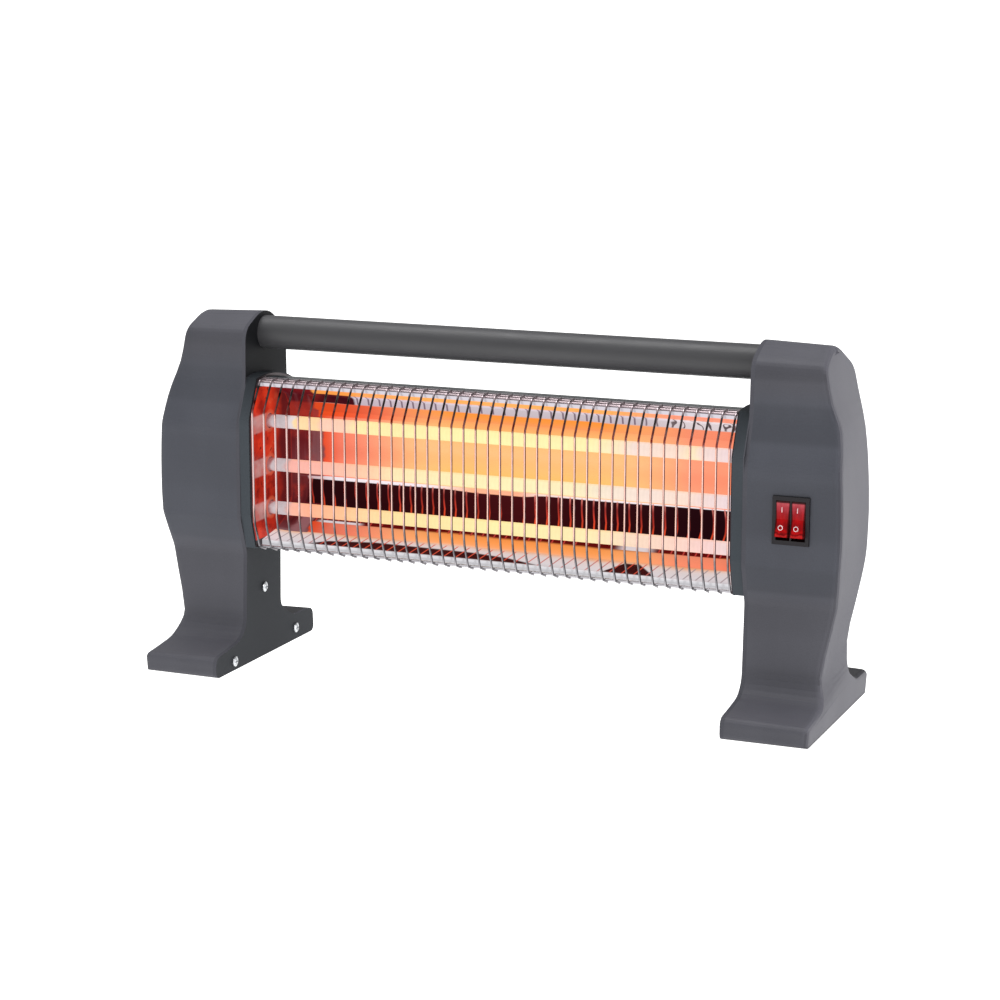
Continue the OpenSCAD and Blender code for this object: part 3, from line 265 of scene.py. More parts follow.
def leg_finish_with_painted_light():
    """Moulded grey plastic with painted light and shade: bands of painted shade and light on the
    front where the wall bends, lighter painted tops, darker painted tops at the back of the feet,
    a darker painted rim beside the front, a dark painted line along the bottom, and a flat outer
    side painted a little darker.
    A level of 0.5 on the ramps leaves the tone as it is."""
    f = Finish("leg_plastic")
    slow = f.noise(9, 3, 0.5)
    fine = f.noise(GRAIN, 3, 0.6)
    colour = flowed_tone(f, slow, LEG_DARK, LEG_LIGHT)
    h = f.span(f.z, 0.0, LEG_RAMP_TOP)
    # Painted shade and light in bands across the front where the wall bends, weaker on the left
    # leg.
    band = f.ramp(h, [
        (0.0, grey(0.51)), (0.10, grey(0.54)), (0.13, grey(0.51)), (0.165, grey(0.56)),
        (0.22, grey(0.55)), (0.27, grey(0.52)), (0.345, grey(0.52)), (0.362, grey(0.42)),
        (0.415, grey(0.41)), (0.435, grey(0.48)), (0.485, grey(0.49)), (0.52, grey(0.45)),
        (0.635, grey(0.45)), (0.665, grey(0.49)), (0.735, grey(0.49)), (0.755, grey(0.40)),
        (0.83, grey(0.42)), (0.85, grey(0.50)), (0.895, grey(0.50)), (0.912, grey(0.42)),
        (0.935, grey(0.43)), (0.955, grey(0.58)), (1.0, grey(0.66)),
    ])
    nx, ny, nz = f.split(f.normal)
    front = f.span(ny, -0.55, -0.85, 0.0, 1.0, smooth=True)
    half = f.span(f.x, -0.05, 0.05, 0.55, 1.0)
    level = f.math("MULTIPLY_ADD", f.both(front, half), f.signed(band), 1.0)
    # Painted light and shade on the left leg's front: a little lighter low down,
    # a little darker near its top.
    left_painted_light = f.ramp(h, [
        (0.0, grey(0.53)), (0.30, grey(0.545)), (0.50, grey(0.50)), (0.74, grey(0.50)),
        (0.80, grey(0.47)), (0.90, grey(0.47)), (0.96, grey(0.50)), (1.0, grey(0.52)),
    ])
    left_part = f.both(front, f.span(f.x, 0.05, -0.05))
    level = f.times(level, left_part, f.signed(left_painted_light))
    # Painted shade: the upward tops at the back of the feet are darkened to about a third.
    heel = f.both(f.span(f.y, 0.030, 0.050), f.span(nz, 0.5, 0.9))
    level = f.times(level, heel, -0.66)
    side = f.math("ABSOLUTE", nx)
    # Painted light: the crown and the tops of the toes are made lighter, as if lit from above.
    crown = f.both(f.span(f.z, 0.2530, 0.2600), f.span(side, 0.7, 0.4))
    toe_end = f.both(f.span(f.z, 0.050, 0.040), f.span(f.y, 0.0, -0.02))
    toe = f.both(f.span(nz, 0.5, 0.85), toe_end)
    top_painted_light = f.math("MAXIMUM", crown, f.math("MULTIPLY", toe, 0.75))
    level = f.times(level, top_painted_light, 0.17)
    # Painted shade: a darker rim where the wall turns into the sides, below the crown.
    below_crown = f.both(f.span(nz, 0.5, 0.2), f.span(f.z, 0.258, 0.250))
    rim = f.both(f.band(side, 0.30, 0.82, 0.10), below_crown)
    level = f.times(level, rim, -0.26)
    # Painted shade: the lowest two millimetres darken towards the floor.
    foot = f.span(f.z, 0.0003, 0.0022, 0.45, 1.0)
    level = f.math("MULTIPLY", level, foot)
    # The grain's specks, times all the painted light and shade gathered in level.
    speck = f.math("MULTIPLY", f.span(fine, 0.35, 0.65, 0.95, 1.04), level)
    cool = f.both(front, f.band(f.z, 0.095, 0.232, 0.010))
    colour = f.mix(cool, colour, f.mix(1.0, colour, (0.955, 1.0, 1.03, 1.0), "MULTIPLY"))
    # The outer side is shaded as one flat face, and its colour carries painted shade, 8 % darker.
    flat = f.t.nodes.new("ShaderNodeCombineXYZ")
    f.put(flat.inputs[0], f.math("SIGN", f.x))
    flat.inputs[2].default_value = 0.02
    far_out = f.span(f.math("ABSOLUTE", f.x), 0.225, 0.230)
    outer = f.both(f.span(side, 0.72, 0.88, smooth=True), far_out)
    speck = f.times(speck, outer, -0.08)
    plain = f.mix(outer, f.normal, flat.outputs[0])
    grainy = f.bump(fine, 0.10, GRAIN_DEPTH, plain)
    waves = f.bump(f.noise(40, 1, 0.4), 0.03, 0.001, grainy)
    f.set(base=f.scaled(colour, speck), normal=waves,
          rough=f.span(slow, 0.3, 0.7, 0.42, 0.54), spec=0.15)
    return f.m


def cover_finish_with_painted_shade():
    """The flat inner cover: darker, bluish on its drum, of the leg's tone along its edge, with
    painted shade darkening it towards the top.
    """
    f = Finish("cover_plastic")
    slow = f.noise(9, 3, 0.5)
    fine = f.noise(GRAIN, 3, 0.6)
    colour = f.ramp(f.span(slow, 0.32, 0.68), [(0.0, rgb(45, 47, 50)), (1.0, rgb(50, 52, 55))])
    # Painted shade: darker towards the top, down to about a quarter.
    cover_painted_shade = f.span(f.z, 0.192, 0.228, 1.0, 0.26, smooth=True)
    colour = f.scaled(colour, cover_painted_shade)
    far = f.math("ABSOLUTE", f.x)
    flank = f.span(f.math("ABSOLUTE", f.split(f.normal)[0]), 0.5, 0.8, 1.0, 0.0)
    drum = f.span(far, 0.1969, 0.1965)
    drum_tone = f.ramp(f.span(slow, 0.32, 0.68), [(0.0, rgb(60, 65, 70)), (1.0, rgb(66, 71, 76))])
    # Painted shade on the drum as well, darker towards its top.
    shade = f.span(f.z, 0.185, 0.222, 1.0, 0.40)
    colour = f.mix(drum, colour, f.scaled(drum_tone, shade))
    edge = f.both(flank, f.math("SUBTRACT", 1.0, drum))
    edge_tone = f.ramp(f.span(slow, 0.32, 0.68), [(0.0, LEG_DARK), (1.0, LEG_LIGHT)])
    colour = f.mix(edge, colour, edge_tone)
    speck = f.span(fine, 0.35, 0.65, 0.95, 1.04)
    f.set(base=f.scaled(colour, speck), normal=f.bump(fine, 0.10, GRAIN_DEPTH),
          rough=f.span(slow, 0.3, 0.7, 0.5, 0.6), spec=0.06)
    return f.m


leg_plastic = leg_finish_with_painted_light()
cover_plastic = cover_finish_with_painted_shade()
black_plastic = moulded_plastic(
    "black_plastic", rgb(30, 28, 31), rgb(38, 36, 39), grain=2400, rough=(0.34, 0.46), spec=0.18
)
pale_plastic = moulded_plastic("pale_plastic", rgb(190, 186, 174), rgb(208, 204, 193))
handle_paint = painted_metal(
    "handle_paint", rgb(58, 58, 60), rgb(66, 66, 68), stretch=(0.05, 1.0, 1.0)
)
rear_paint = painted_metal(
    "rear_paint", rgb(38, 44, 47), rgb(46, 52, 55), stretch=(0.2, 1.0, 1.0), bare=-0.0072
)
bright_steel = bright_metal("bright_steel", rgb(168, 171, 174), rgb(222, 224, 226), 900)
terminal_brass = bright_metal("terminal_brass", rgb(170, 140, 78), rgb(206, 178, 112), 500)


def ceramic_finish():
    """Unglazed steatite, slightly uneven."""
    f = Finish("ceramic")
    n = f.noise(240, 4, 0.6)
    f.set(
        base=f.ramp(f.span(n, 0.3, 0.7), [(0.0, rgb(214, 206, 190)), (1.0, rgb(234, 230, 220))]),
        rough=f.span(n, 0.3, 0.7, 0.55, 0.75),
        normal=f.bump(f.noise(900, 2), 0.12, 0.0002),
        spec=0.35,
    )
    return f.m


# Heights between which the ramps of the wires and the reflector run
LOW_Z, HIGH_Z = 0.085, 0.225
# Half the length over which the ramps along the reflector and the tubes run
HALF_L = 0.190


def chromed_wire_with_painted_reflections():
    """Bright plated wire with painted reflections held in its colour: the dark room above the
    upper bend, the hot tubes below it; painted light on one flank and painted shade on the other.
    It gives off the same painted colours as a faint glow."""
    f = Finish("chromed_wire")
    n = f.noise(160, 2, 0.5)
    h = f.span(f.z, LOW_Z, HIGH_Z)
    # Painted reflections by height, on the lit flank.
    light = f.ramp(h, [
        (0.0, rgb(190, 188, 192)), (0.05, rgb(150, 148, 152)), (0.12, rgb(106, 104, 108)),
        (0.20, rgb(92, 88, 92)), (0.28, rgb(216, 178, 168)), (0.785, rgb(222, 178, 164)),
        (0.800, rgb(128, 34, 24)), (0.845, rgb(92, 22, 18)), (0.870, rgb(22, 18, 20)),
        (0.926, rgb(22, 18, 20)), (0.938, rgb(170, 154, 158)), (1.0, rgb(190, 174, 178)),
    ], "LINEAR")
    # The same painted reflections, darker, on the shaded flank.
    dark = f.ramp(h, [
        (0.0, rgb(130, 126, 130)), (0.05, rgb(80, 78, 82)), (0.12, rgb(40, 40, 44)),
        (0.22, rgb(40, 36, 40)), (0.30, rgb(64, 28, 27)), (0.785, rgb(66, 27, 25)),
        (0.800, rgb(84, 12, 8)), (0.845, rgb(56, 10, 8)), (0.870, rgb(9, 8, 9)),
        (0.926, rgb(9, 8, 9)), (0.938, rgb(112, 100, 104)), (1.0, rgb(130, 116, 120)),
    ], "LINEAR")
    # Painted light and shade: flanks facing left take the lit ramp, flanks facing right the dark
    # one.
    nx = f.split(f.normal)[0]
    flank = f.span(nx, 0.12, 0.48, 0.0, 1.0, smooth=True)
    tone = f.mix(flank, light, dark)
    # Painted reflection: a paler pink patch on the left part.
    cool = f.both(f.span(f.x, -0.10, -0.17), f.band(f.z, 0.124, 0.195, 0.004), 0.55)
    tone = f.mix(cool, tone, rgb(190, 168, 170))
    tone = f.mix(f.span(n, 0.3, 0.7, 0.0, 0.10), tone, rgb(228, 220, 222))
    # Painted light: the wire gives off its painted colours as a faint glow.
    f.set(base=tone, metal=1.0, rough=f.span(n, 0.3, 0.7, 0.26, 0.36),
          normal=f.bump(f.noise(260, 2), 0.05, 0.0002), glow=tone, power=0.16)
    return f.m


ceramic = ceramic_finish()
chromed_wire = chromed_wire_with_painted_reflections()


# ---------------------------------------------------------------- hot parts

TUBES = {}
for which in ("top", "middle", "bottom"):
    low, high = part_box("quartz_tube_" + which)
    TUBES[which] = ((low.y + high.y) / 2, (low.z + high.z) / 2)

# Spacing of the grille wires
WIRE_PITCH = 0.00956
# Their painted reflections in the reflector: spacing as a share of that one, and shift in spacings
MIRROR_SHRINK = 0.9723
MIRROR_PHASE = 40.79
# Spacing of the bands that the winding leaves in the quartz
WINDING_PITCH = 0.0032

COLD = rgb(226, 216, 220)
RED_GLASS = rgb(176, 84, 82)
COLD_END = [(-0.190, RED_GLASS), (-0.1872, RED_GLASS), (-0.1845, COLD)]


def hot_quartz(name, stops):
    """Milky quartz: frosty and cold at the ends, glowing between them. stops: [x, colour]."""
    f = Finish(name)
    across = f.split(f.normal)[2]
    round_end = f.math("MULTIPLY", f.math("MULTIPLY", across, across), -0.0022)
    along = f.math("ADD", f.math("ADD", f.x, round_end), f.wave(160, 0.003))
    tone = f.ramp(
        f.span(along, -HALF_L, HALF_L),
        [((x + HALF_L) / (2 * HALF_L), c) for x, c in stops], "LINEAR",
    )
    frost = f.span(f.noise(120, 4, 0.65), 0.3, 0.7, 0.80, 1.04)
    cold = f.math("MAXIMUM", f.span(f.x, -0.168, -0.172), f.span(f.x, 0.176, 0.180))
    # The winding shows through the quartz as faint bands, and the milky wall as a slow mottle.
    bands = f.math("SINE", f.math("MULTIPLY", f.x, 2 * math.pi / WINDING_PITCH))
    mottle = f.span(f.noise(150, 3, 0.6), 0.3, 0.7, 0.965, 1.03)
    grain = f.math("MULTIPLY_ADD", bands, 0.018, mottle)
    grain = f.times(grain, cold, f.math("SUBTRACT", frost, 1.0))
    rim = f.span(f.math("ABSOLUTE", across), 0.80, 1.0, 0.0, 0.22, smooth=True)
    shown = f.mix(f.math("MULTIPLY", rim, f.math("SUBTRACT", 1.0, cold)), tone, rgb(255, 186, 110))
    f.set(
        base=f.mix(cold, rgb(70, 56, 40), rgb(120, 112, 114)),
        glow=f.scaled(shown, grain),
        power=f.span(cold, 0.0, 1.0, 0.97, 0.62),
        rough=f.span(f.noise(200, 2), 0.3, 0.7, 0.36, 0.5),
        spec=0.2,
        normal=f.bump(f.noise(500, 3), 0.08, 0.0003),
    )
    return f.m


quartz_top = hot_quartz("milky_quartz_top", [
    *COLD_END, (-0.167, COLD), (-0.164, rgb(255, 222, 168)),
    (-0.146, rgb(255, 214, 166)), (-0.140, rgb(255, 206, 184)), (-0.124, rgb(255, 208, 182)),
    (-0.112, rgb(255, 236, 172)), (-0.02, rgb(255, 246, 176)), (0.07, rgb(255, 243, 178)),
    (0.095, rgb(252, 232, 196)), (0.105, rgb(248, 226, 216)), (0.140, rgb(250, 222, 206)),
    (0.150, rgb(252, 230, 190)), (0.158, rgb(246, 220, 214)), (0.176, rgb(240, 218, 220)),
    (0.182, rgb(232, 216, 220)),
])
quartz_middle = hot_quartz("milky_quartz_middle", [
    *COLD_END, (-0.175, COLD), (-0.171, rgb(248, 178, 168)),
    (-0.150, rgb(253, 182, 168)), (-0.126, rgb(255, 192, 170)), (-0.100, rgb(255, 208, 170)),
    (-0.082, rgb(254, 232, 182)), (0.00, rgb(255, 242, 186)), (0.060, rgb(252, 238, 192)),
    (0.085, rgb(246, 230, 210)), (0.120, rgb(247, 226, 216)), (0.145, rgb(248, 222, 206)),
    (0.156, rgb(244, 218, 212)), (0.178, rgb(236, 216, 220)), (0.184, rgb(232, 216, 220)),
])
quartz_bottom = hot_quartz("milky_quartz_bottom", [
    *COLD_END, (-0.176, COLD), (-0.172, rgb(252, 186, 168)),
    (-0.155, rgb(255, 176, 144)), (-0.122, rgb(255, 196, 148)), (-0.112, rgb(255, 212, 160)),
    (-0.085, rgb(254, 226, 164)), (0.00, rgb(255, 240, 172)), (0.075, rgb(253, 234, 180)),
    (0.105, rgb(250, 220, 196)), (0.140, rgb(250, 212, 198)), (0.160, rgb(246, 208, 204)),
    (0.178, rgb(238, 214, 214)), (0.184, rgb(232, 216, 220)),
])


def hot_coil_finish():
    """Resistance wire, brightest in the middle of the tube."""
    f = Finish("hot_coil")
    heat = f.ramp(
        f.span(f.math("ABSOLUTE", f.x), 0.0, 0.165),
        [(0.0, rgb(255, 214, 130)), (0.8, rgb(255, 160, 70)), (1.0, rgb(190, 50, 20))],
    )
    f.set(base=rgb(60, 30, 20), glow=heat, power=1.6, metal=0.6,
          rough=f.span(f.noise(600, 2), 0.3, 0.7, 0.4, 0.6))
    return f.m


def zs(z_mm):
    """Height in mm as a place on the 0..1 ramps of the reflector."""
    return (z_mm / 1000 - LOW_Z) / (HIGH_Z - LOW_Z)


def xs(x_mm):
    """Place along the heater in mm, on the 0..1 ramps of the reflector."""
    return (x_mm / 1000 + HALF_L) / (2 * HALF_L)


# Heights at which the painted reflection changes: the lower field, the foot of the dark band,
# the upper field, and the grey band over it
LOW_FIELD = (0.0998, 0.1053)
DARK_FOOT = (0.1078, 0.1084)
HIGH_FIELD = (0.1382, 0.1963)
GREY_BAND = (0.1967, 0.2045)


def painted_tube_reflections(f, h, along):
    """Painted reflections of the glowing tubes, from the lower lip to the upper one."""
    # Painted reflection of what the trough shows in the middle,
    # from its lower lip up to the upper one.
    field = f.ramp(h, [
        (zs(88), rgb(204, 204, 208)), (zs(95.6), rgb(206, 205, 209)),
        (zs(96.2), rgb(222, 218, 222)), (zs(97.0), rgb(236, 230, 234)),
        (zs(99.0), rgb(242, 226, 222)), (zs(99.6), rgb(252, 198, 164)),
        (zs(100.4), rgb(255, 174, 116)),
        (zs(102.5), rgb(255, 166, 92)), (zs(105.1), rgb(255, 158, 80)),
        (zs(105.4), rgb(104, 14, 12)), (zs(117), rgb(88, 14, 14)), (zs(134.6), rgb(60, 14, 16)),
        (zs(138.4), rgb(255, 200, 148)), (zs(150), rgb(254, 188, 108)),
        (zs(156), rgb(254, 194, 124)), (zs(166), rgb(253, 190, 130)),
        (zs(176), rgb(253, 184, 118)), (zs(184), rgb(253, 176, 108)),
        (zs(189), rgb(252, 164, 104)), (zs(193), rgb(254, 160, 76)),
        (zs(196.3), rgb(255, 156, 64)), (zs(196.7), rgb(200, 192, 206)),
        (zs(204.3), rgb(206, 200, 214)), (zs(204.7), rgb(255, 172, 78)),
        (zs(209), rgb(254, 178, 88)), (zs(212.5), rgb(206, 198, 206)),
        (zs(214), rgb(208, 202, 210)),
    ], "LINEAR")

    # Toward the left the field turns salmon, then red, toward the right a paler salmon.
    upper_field = f.band(f.z, *HIGH_FIELD, 0.0003)
    lower_field = f.band(f.z, *LOW_FIELD, 0.0002)
    hot = f.math("MAXIMUM", upper_field, lower_field)
    warm = f.ramp(along, [
        (xs(-161), rgb(240, 82, 42)), (xs(-154), rgb(240, 98, 68)),
        (xs(-146), rgb(240, 122, 98)), (xs(-126), rgb(245, 136, 110)),
        (xs(-106), rgb(251, 158, 122)), (xs(-84), rgb(254, 180, 130)),
        (xs(-50), rgb(254, 198, 140)), (xs(70), rgb(254, 196, 140)),
        (xs(104), rgb(254, 176, 126)), (xs(136), rgb(251, 152, 120)),
        (xs(165), rgb(250, 146, 114)), (xs(186), rgb(232, 120, 96)),
    ], "LINEAR")
    share = f.ramp(along, [
        (xs(-158), grey(1.0)), (xs(-100), grey(0.85)), (xs(-50), grey(0.0)), (xs(72), grey(0.0)),
        (xs(110), grey(0.7)), (xs(140), grey(0.95)),
    ], "LINEAR")
    field = f.mix(f.both(hot, share), field, warm)
    # Painted reflection: a red-orange band on the left, and a thin pale salmon one on the right.
    painted_red_band = f.band(f.z, 0.1855, 0.1963, 0.0006)
    field = f.mix(f.both(painted_red_band, f.span(f.x, -0.06, -0.15)), field, rgb(238, 84, 40))
    thin = f.both(f.band(f.z, 0.2047, 0.2105, 0.0002), f.span(f.x, 0.08, 0.13))
    field = f.mix(thin, field, rgb(250, 150, 120))

    # Painted reflection of the middle tube's underside: a strip that is white at both sides and
    # orange in the middle.
    strip = f.ramp(along, [
        (xs(-171), rgb(214, 190, 194)), (xs(-150), rgb(238, 230, 236)),
        (xs(-70), rgb(240, 226, 232)), (xs(-52), rgb(248, 206, 190)),
        (xs(-36), rgb(250, 178, 142)), (xs(2), rgb(248, 172, 138)), (xs(20), rgb(246, 214, 204)),
        (xs(60), rgb(240, 226, 230)), (xs(160), rgb(242, 230, 234)),
    ], "LINEAR")
    field = f.mix(f.band(f.z, 0.1300, 0.1384, 0.0001), field, strip)
    return field


def mirrored_wires(f, lean, centre_z, width, bow=0.0, shift=0.0, drift=None):
    """The grille wires' painted reflections in the metal, at their place in the mirror: a mask."""
    pitch = WIRE_PITCH * MIRROR_SHRINK
    dz = f.math("SUBTRACT", f.z, centre_z)
    x = f.math("MULTIPLY_ADD", dz, lean, f.x)
    x = f.math("ADD", x, f.math("MULTIPLY", f.math("MULTIPLY", dz, dz), bow))
    if drift is not None:
        x = f.math("ADD", x, drift)
    part = f.math("FRACT", f.math("MULTIPLY_ADD", x, 1 / pitch, MIRROR_PHASE + shift))
    off = f.math("ABSOLUTE", f.math("SUBTRACT", part, 0.5))
    return f.span(off, width * 0.45, width, 1.0, 0.0, smooth=True)


def painted_dark_band(f, field, along):
    """Painted reflection: the dark band behind the lowest tube and over it, with the red images of
    the wires in it.
    """
    # The dark band and its wavy upper edge.
    edge = f.ramp(along, [
        (xs(-175), grey(0.50)), (xs(-168), grey(0.62)), (xs(-120), grey(0.66)),
        (xs(-60), grey(0.72)), (xs(-28), grey(0.54)), (xs(4), grey(0.56)), (xs(24), grey(0.86)),
        (xs(70), grey(0.84)), (xs(140), grey(0.94)), (xs(186), grey(0.96)),
    ])
    under = f.math("SUBTRACT", f.math("MULTIPLY_ADD", edge, 0.006, 0.1320), f.z)
    above_foot = f.span(f.z, *DARK_FOOT)
    dark = f.both(f.span(under, -0.00015, 0.00035), above_foot)
    tint = f.ramp(along, [
        (xs(-170), rgb(38, 10, 14)), (xs(-60), rgb(48, 12, 16)), (xs(0), rgb(66, 16, 20)),
        (xs(60), rgb(46, 12, 16)), (xs(160), rgb(32, 9, 14)),
    ])
    field = f.mix(dark, field, tint)

    # Red images of the wires in the dark band.
    bow = f.ramp(along, [
        (xs(-160), grey(0.0)), (xs(-60), grey(0.3)), (xs(0), grey(0.5)), (xs(60), grey(0.35)),
        (xs(110), grey(0.5)), (xs(150), grey(0.9)),
    ], "LINEAR")
    bow = f.span(bow, 0.0, 1.0, -17.0, 12.0)
    images = mirrored_wires(f, 0.04, 0.1285, 0.095, bow)
    red = f.both(images, above_foot, f.span(under, -0.0010, -0.0004))
    red = f.math("MULTIPLY", red, f.span(f.noise(60, 2), 0.35, 0.65, 0.55, 0.95))
    heat = f.ramp(f.span(f.z, 0.117, 0.137), [
        (0.0, rgb(246, 84, 48)), (0.3, rgb(206, 64, 50)), (0.7, rgb(164, 56, 52)),
        (1.0, rgb(210, 120, 110)),
    ])
    field = f.mix(red, field, heat)
    low_red = f.both(mirrored_wires(f, 0.0, 0.106, 0.085), f.band(f.z, 0.1053, 0.1080, 0.0001))
    field = f.mix(low_red, field, rgb(196, 66, 58))

    # Painted reflection: white wedges in the thin dark line under the lowest tube.
    wedge = f.both(f.band(f.x, 0.088, 0.112, 0.006), f.band(f.z, 0.1053, 0.1084, 0.0001))
    left_wedge = f.both(f.band(f.x, -0.157, -0.122, 0.004), f.band(f.z, 0.1053, 0.1064, 0.0002))
    wedge = f.math("MAXIMUM", wedge, left_wedge)
    field = f.mix(wedge, field, rgb(238, 228, 232))
    return field


def painted_edge_reflections(f, field, along):
    """Painted reflections along the top and along the floor of the trough."""
    # Painted reflection: grey band near the top, with the upper wires in it; they curl at the
    # right end.
    curl = f.both(f.span(f.x, 0.10, 0.15), f.wave(42, 0.022, 2))
    upper_wires = mirrored_wires(f, -0.15, 0.2005, 0.105, 0.0, 0.35, curl)
    lines = f.both(upper_wires, f.band(f.z, 0.1968, 0.2044, 0.0002))
    field = f.mix(f.math("MULTIPLY", lines, 0.85), field, rgb(108, 88, 108))
    pale_end = f.both(f.band(f.z, *GREY_BAND, 0.0001), f.span(f.x, 0.10, 0.14), 0.6)
    field = f.mix(pale_end, field, rgb(234, 230, 232))
    field = f.mix(f.both(lines, f.span(f.x, 0.10, 0.13)), field, rgb(96, 84, 88))

    # Painted reflection on the floor of the trough: dark lens, small dark peak, and the wires as
    # slanting lines.
    lens = f.ramp(along, [
        (xs(-152), grey(0.0)), (xs(-136), grey(0.40)), (xs(-100), grey(0.62)),
        (xs(-20), grey(0.56)), (xs(10), grey(0.40)), (xs(40), grey(0.03)), (xs(86), grey(0.0)),
        (xs(98), grey(0.84)), (xs(110), grey(0.84)), (xs(128), grey(0.0)),
    ], "LINEAR")
    lens = f.math("MULTIPLY_ADD", lens, 0.0040, 0.0960)
    below_lens = f.span(f.math("SUBTRACT", lens, f.z), -0.00012, 0.00022)
    lens = f.both(below_lens, f.span(f.z, 0.0961, 0.0963))
    field = f.mix(lens, field, rgb(58, 14, 18))
    slanting = mirrored_wires(f, -0.9, 0.098, 0.085, 0.0, 0.55)
    slash = f.both(slanting, f.band(f.z, 0.0962, 0.0996, 0.0002))
    slash_tone = f.ramp(along, [
        (xs(-168), rgb(176, 160, 166)), (xs(-150), rgb(176, 120, 122)),
        (xs(-138), rgb(232, 88, 62)), (xs(20), rgb(232, 92, 70)), (xs(44), rgb(204, 118, 112)),
        (xs(86), rgb(206, 122, 116)), (xs(98), rgb(230, 84, 60)), (xs(116), rgb(226, 90, 70)),
        (xs(134), rgb(176, 160, 164)),
    ], "LINEAR")
    field = f.mix(f.math("MULTIPLY", slash, 0.9), field, slash_tone)
    return field


def painted_unlit_end(f, field, h):
    """Painted reflection at the left end, where the tubes don't glow."""
    # Painted reflection at the unlit left end: maroon and brown blotches. Where it stops depends
    # on the height.
    stop = f.ramp(h, [
        (zs(85), grey(0.0)), (zs(99.3), grey(0.30)), (zs(117), grey(0.185)),
        (zs(138), grey(0.32)), (zs(184), grey(0.27)), (zs(190), grey(0.25)),
        (zs(196.5), grey(0.61)), (zs(204.5), grey(0.32)), (zs(211), grey(0.0)),
    ], "CONSTANT")
    stop = f.math("MULTIPLY_ADD", stop, 0.100, -0.190)
    inside = f.math("SUBTRACT", stop, f.math("ADD", f.x, f.wave(90, 0.004)))
    unlit = f.span(inside, -0.0006, 0.0022, smooth=True)
    left = f.ramp(h, [
        (zs(88), rgb(214, 206, 208)), (zs(99.2), rgb(150, 116, 120)), (zs(101), rgb(116, 58, 62)),
        (zs(105), rgb(100, 34, 38)), (zs(117), rgb(104, 34, 38)), (zs(137), rgb(112, 44, 46)),
        (zs(151), rgb(120, 50, 54)), (zs(165), rgb(108, 32, 36)), (zs(176), rgb(122, 36, 38)),
        (zs(186), rgb(168, 52, 42)), (zs(195), rgb(156, 44, 38)), (zs(197), rgb(98, 24, 30)),
        (zs(204), rgb(86, 16, 26)), (zs(209), rgb(112, 16, 24)), (zs(213), rgb(206, 203, 208)),
    ], "LINEAR")
    blot = f.noise(48, 4, 0.62)
    stripes = f.noise(150, 3, 0.6, stretch=(1.0, 0.2, 0.12))
    inner = f.band(f.z, 0.0990, 0.2110, 0.0005)
    blotch = f.span(blot, 0.50, 0.72, 0.0, 0.55, smooth=True)
    left = f.mix(f.both(blotch, inner), left, rgb(188, 58, 44))
    left = f.mix(f.both(f.span(stripes, 0.56, 0.72, 0.0, 0.5), inner), left, rgb(58, 12, 18))
    left = f.mix(f.both(f.span(stripes, 0.42, 0.28, 0.0, 0.22), inner), left, rgb(150, 104, 108))
    haze = f.both(f.band(inside, -0.0005, 0.0120, 0.0030), f.band(f.z, 0.138, 0.182, 0.002))
    left = f.mix(f.both(haze, f.span(stripes, 0.3, 0.6, 0.35, 0.75)), left, rgb(140, 98, 102))
    haze = f.both(f.band(inside, 0.0020, 0.0150, 0.0030), f.band(f.z, 0.0995, 0.1085, 0.0015))
    left = f.mix(f.math("MULTIPLY", haze, 0.8), left, rgb(164, 112, 116))
    near = f.both(f.span(f.x, -0.1865, -0.1895), inner)
    left = f.mix(f.math("MULTIPLY", near, 0.8), left, rgb(206, 54, 34))
    deep = f.both(f.band(f.z, 0.1965, 0.2045, 0.0003), f.span(f.x, -0.168, -0.155))
    left = f.mix(f.math("MULTIPLY", deep, 0.85), left, rgb(60, 14, 26))
    field = f.mix(unlit, field, left)
    return field


def reflector_with_painted_reflections():
    """Polished aluminium with painted reflections of the hot tubes, held in its colour and given
    off
    as glow: orange fields, a dark band, and the wires drawn in it as thin red lines."""
    f = Finish("polished_aluminium")
    h = f.span(f.math("ADD", f.z, f.wave(22, 0.0009, stretch=(1.0, 0.2, 0.2))), LOW_Z, HIGH_Z)
    along = f.span(f.x, -HALF_L, HALF_L)
    field = painted_tube_reflections(f, h, along)
    field = painted_dark_band(f, field, along)
    field = painted_edge_reflections(f, field, along)
    field = painted_unlit_end(f, field, h)

    # The painted reflections glow on the front faces; faces turned to the back are plain metal.
    rear = f.span(f.split(f.normal)[1], 0.02, 0.06)
    scuff = f.noise(140, 3, 0.6, stretch=(0.08, 1.0, 1.0))
    plain = f.ramp(f.span(scuff, 0.3, 0.7), [(0.0, rgb(128, 128, 130)), (1.0, rgb(160, 160, 162))])
    f.set(
        base=f.mix(rear, f.scaled(field, 0.26), plain),
        metal=1.0,
        rough=f.span(scuff, 0.3, 0.7, 0.20, 0.30),
        normal=f.bump(f.noise(30, 2, 0.4), 0.04, 0.001),
        glow=field,
        power=f.span(rear, 0.0, 1.0, 0.78, 0.0),
    )
    return f.m


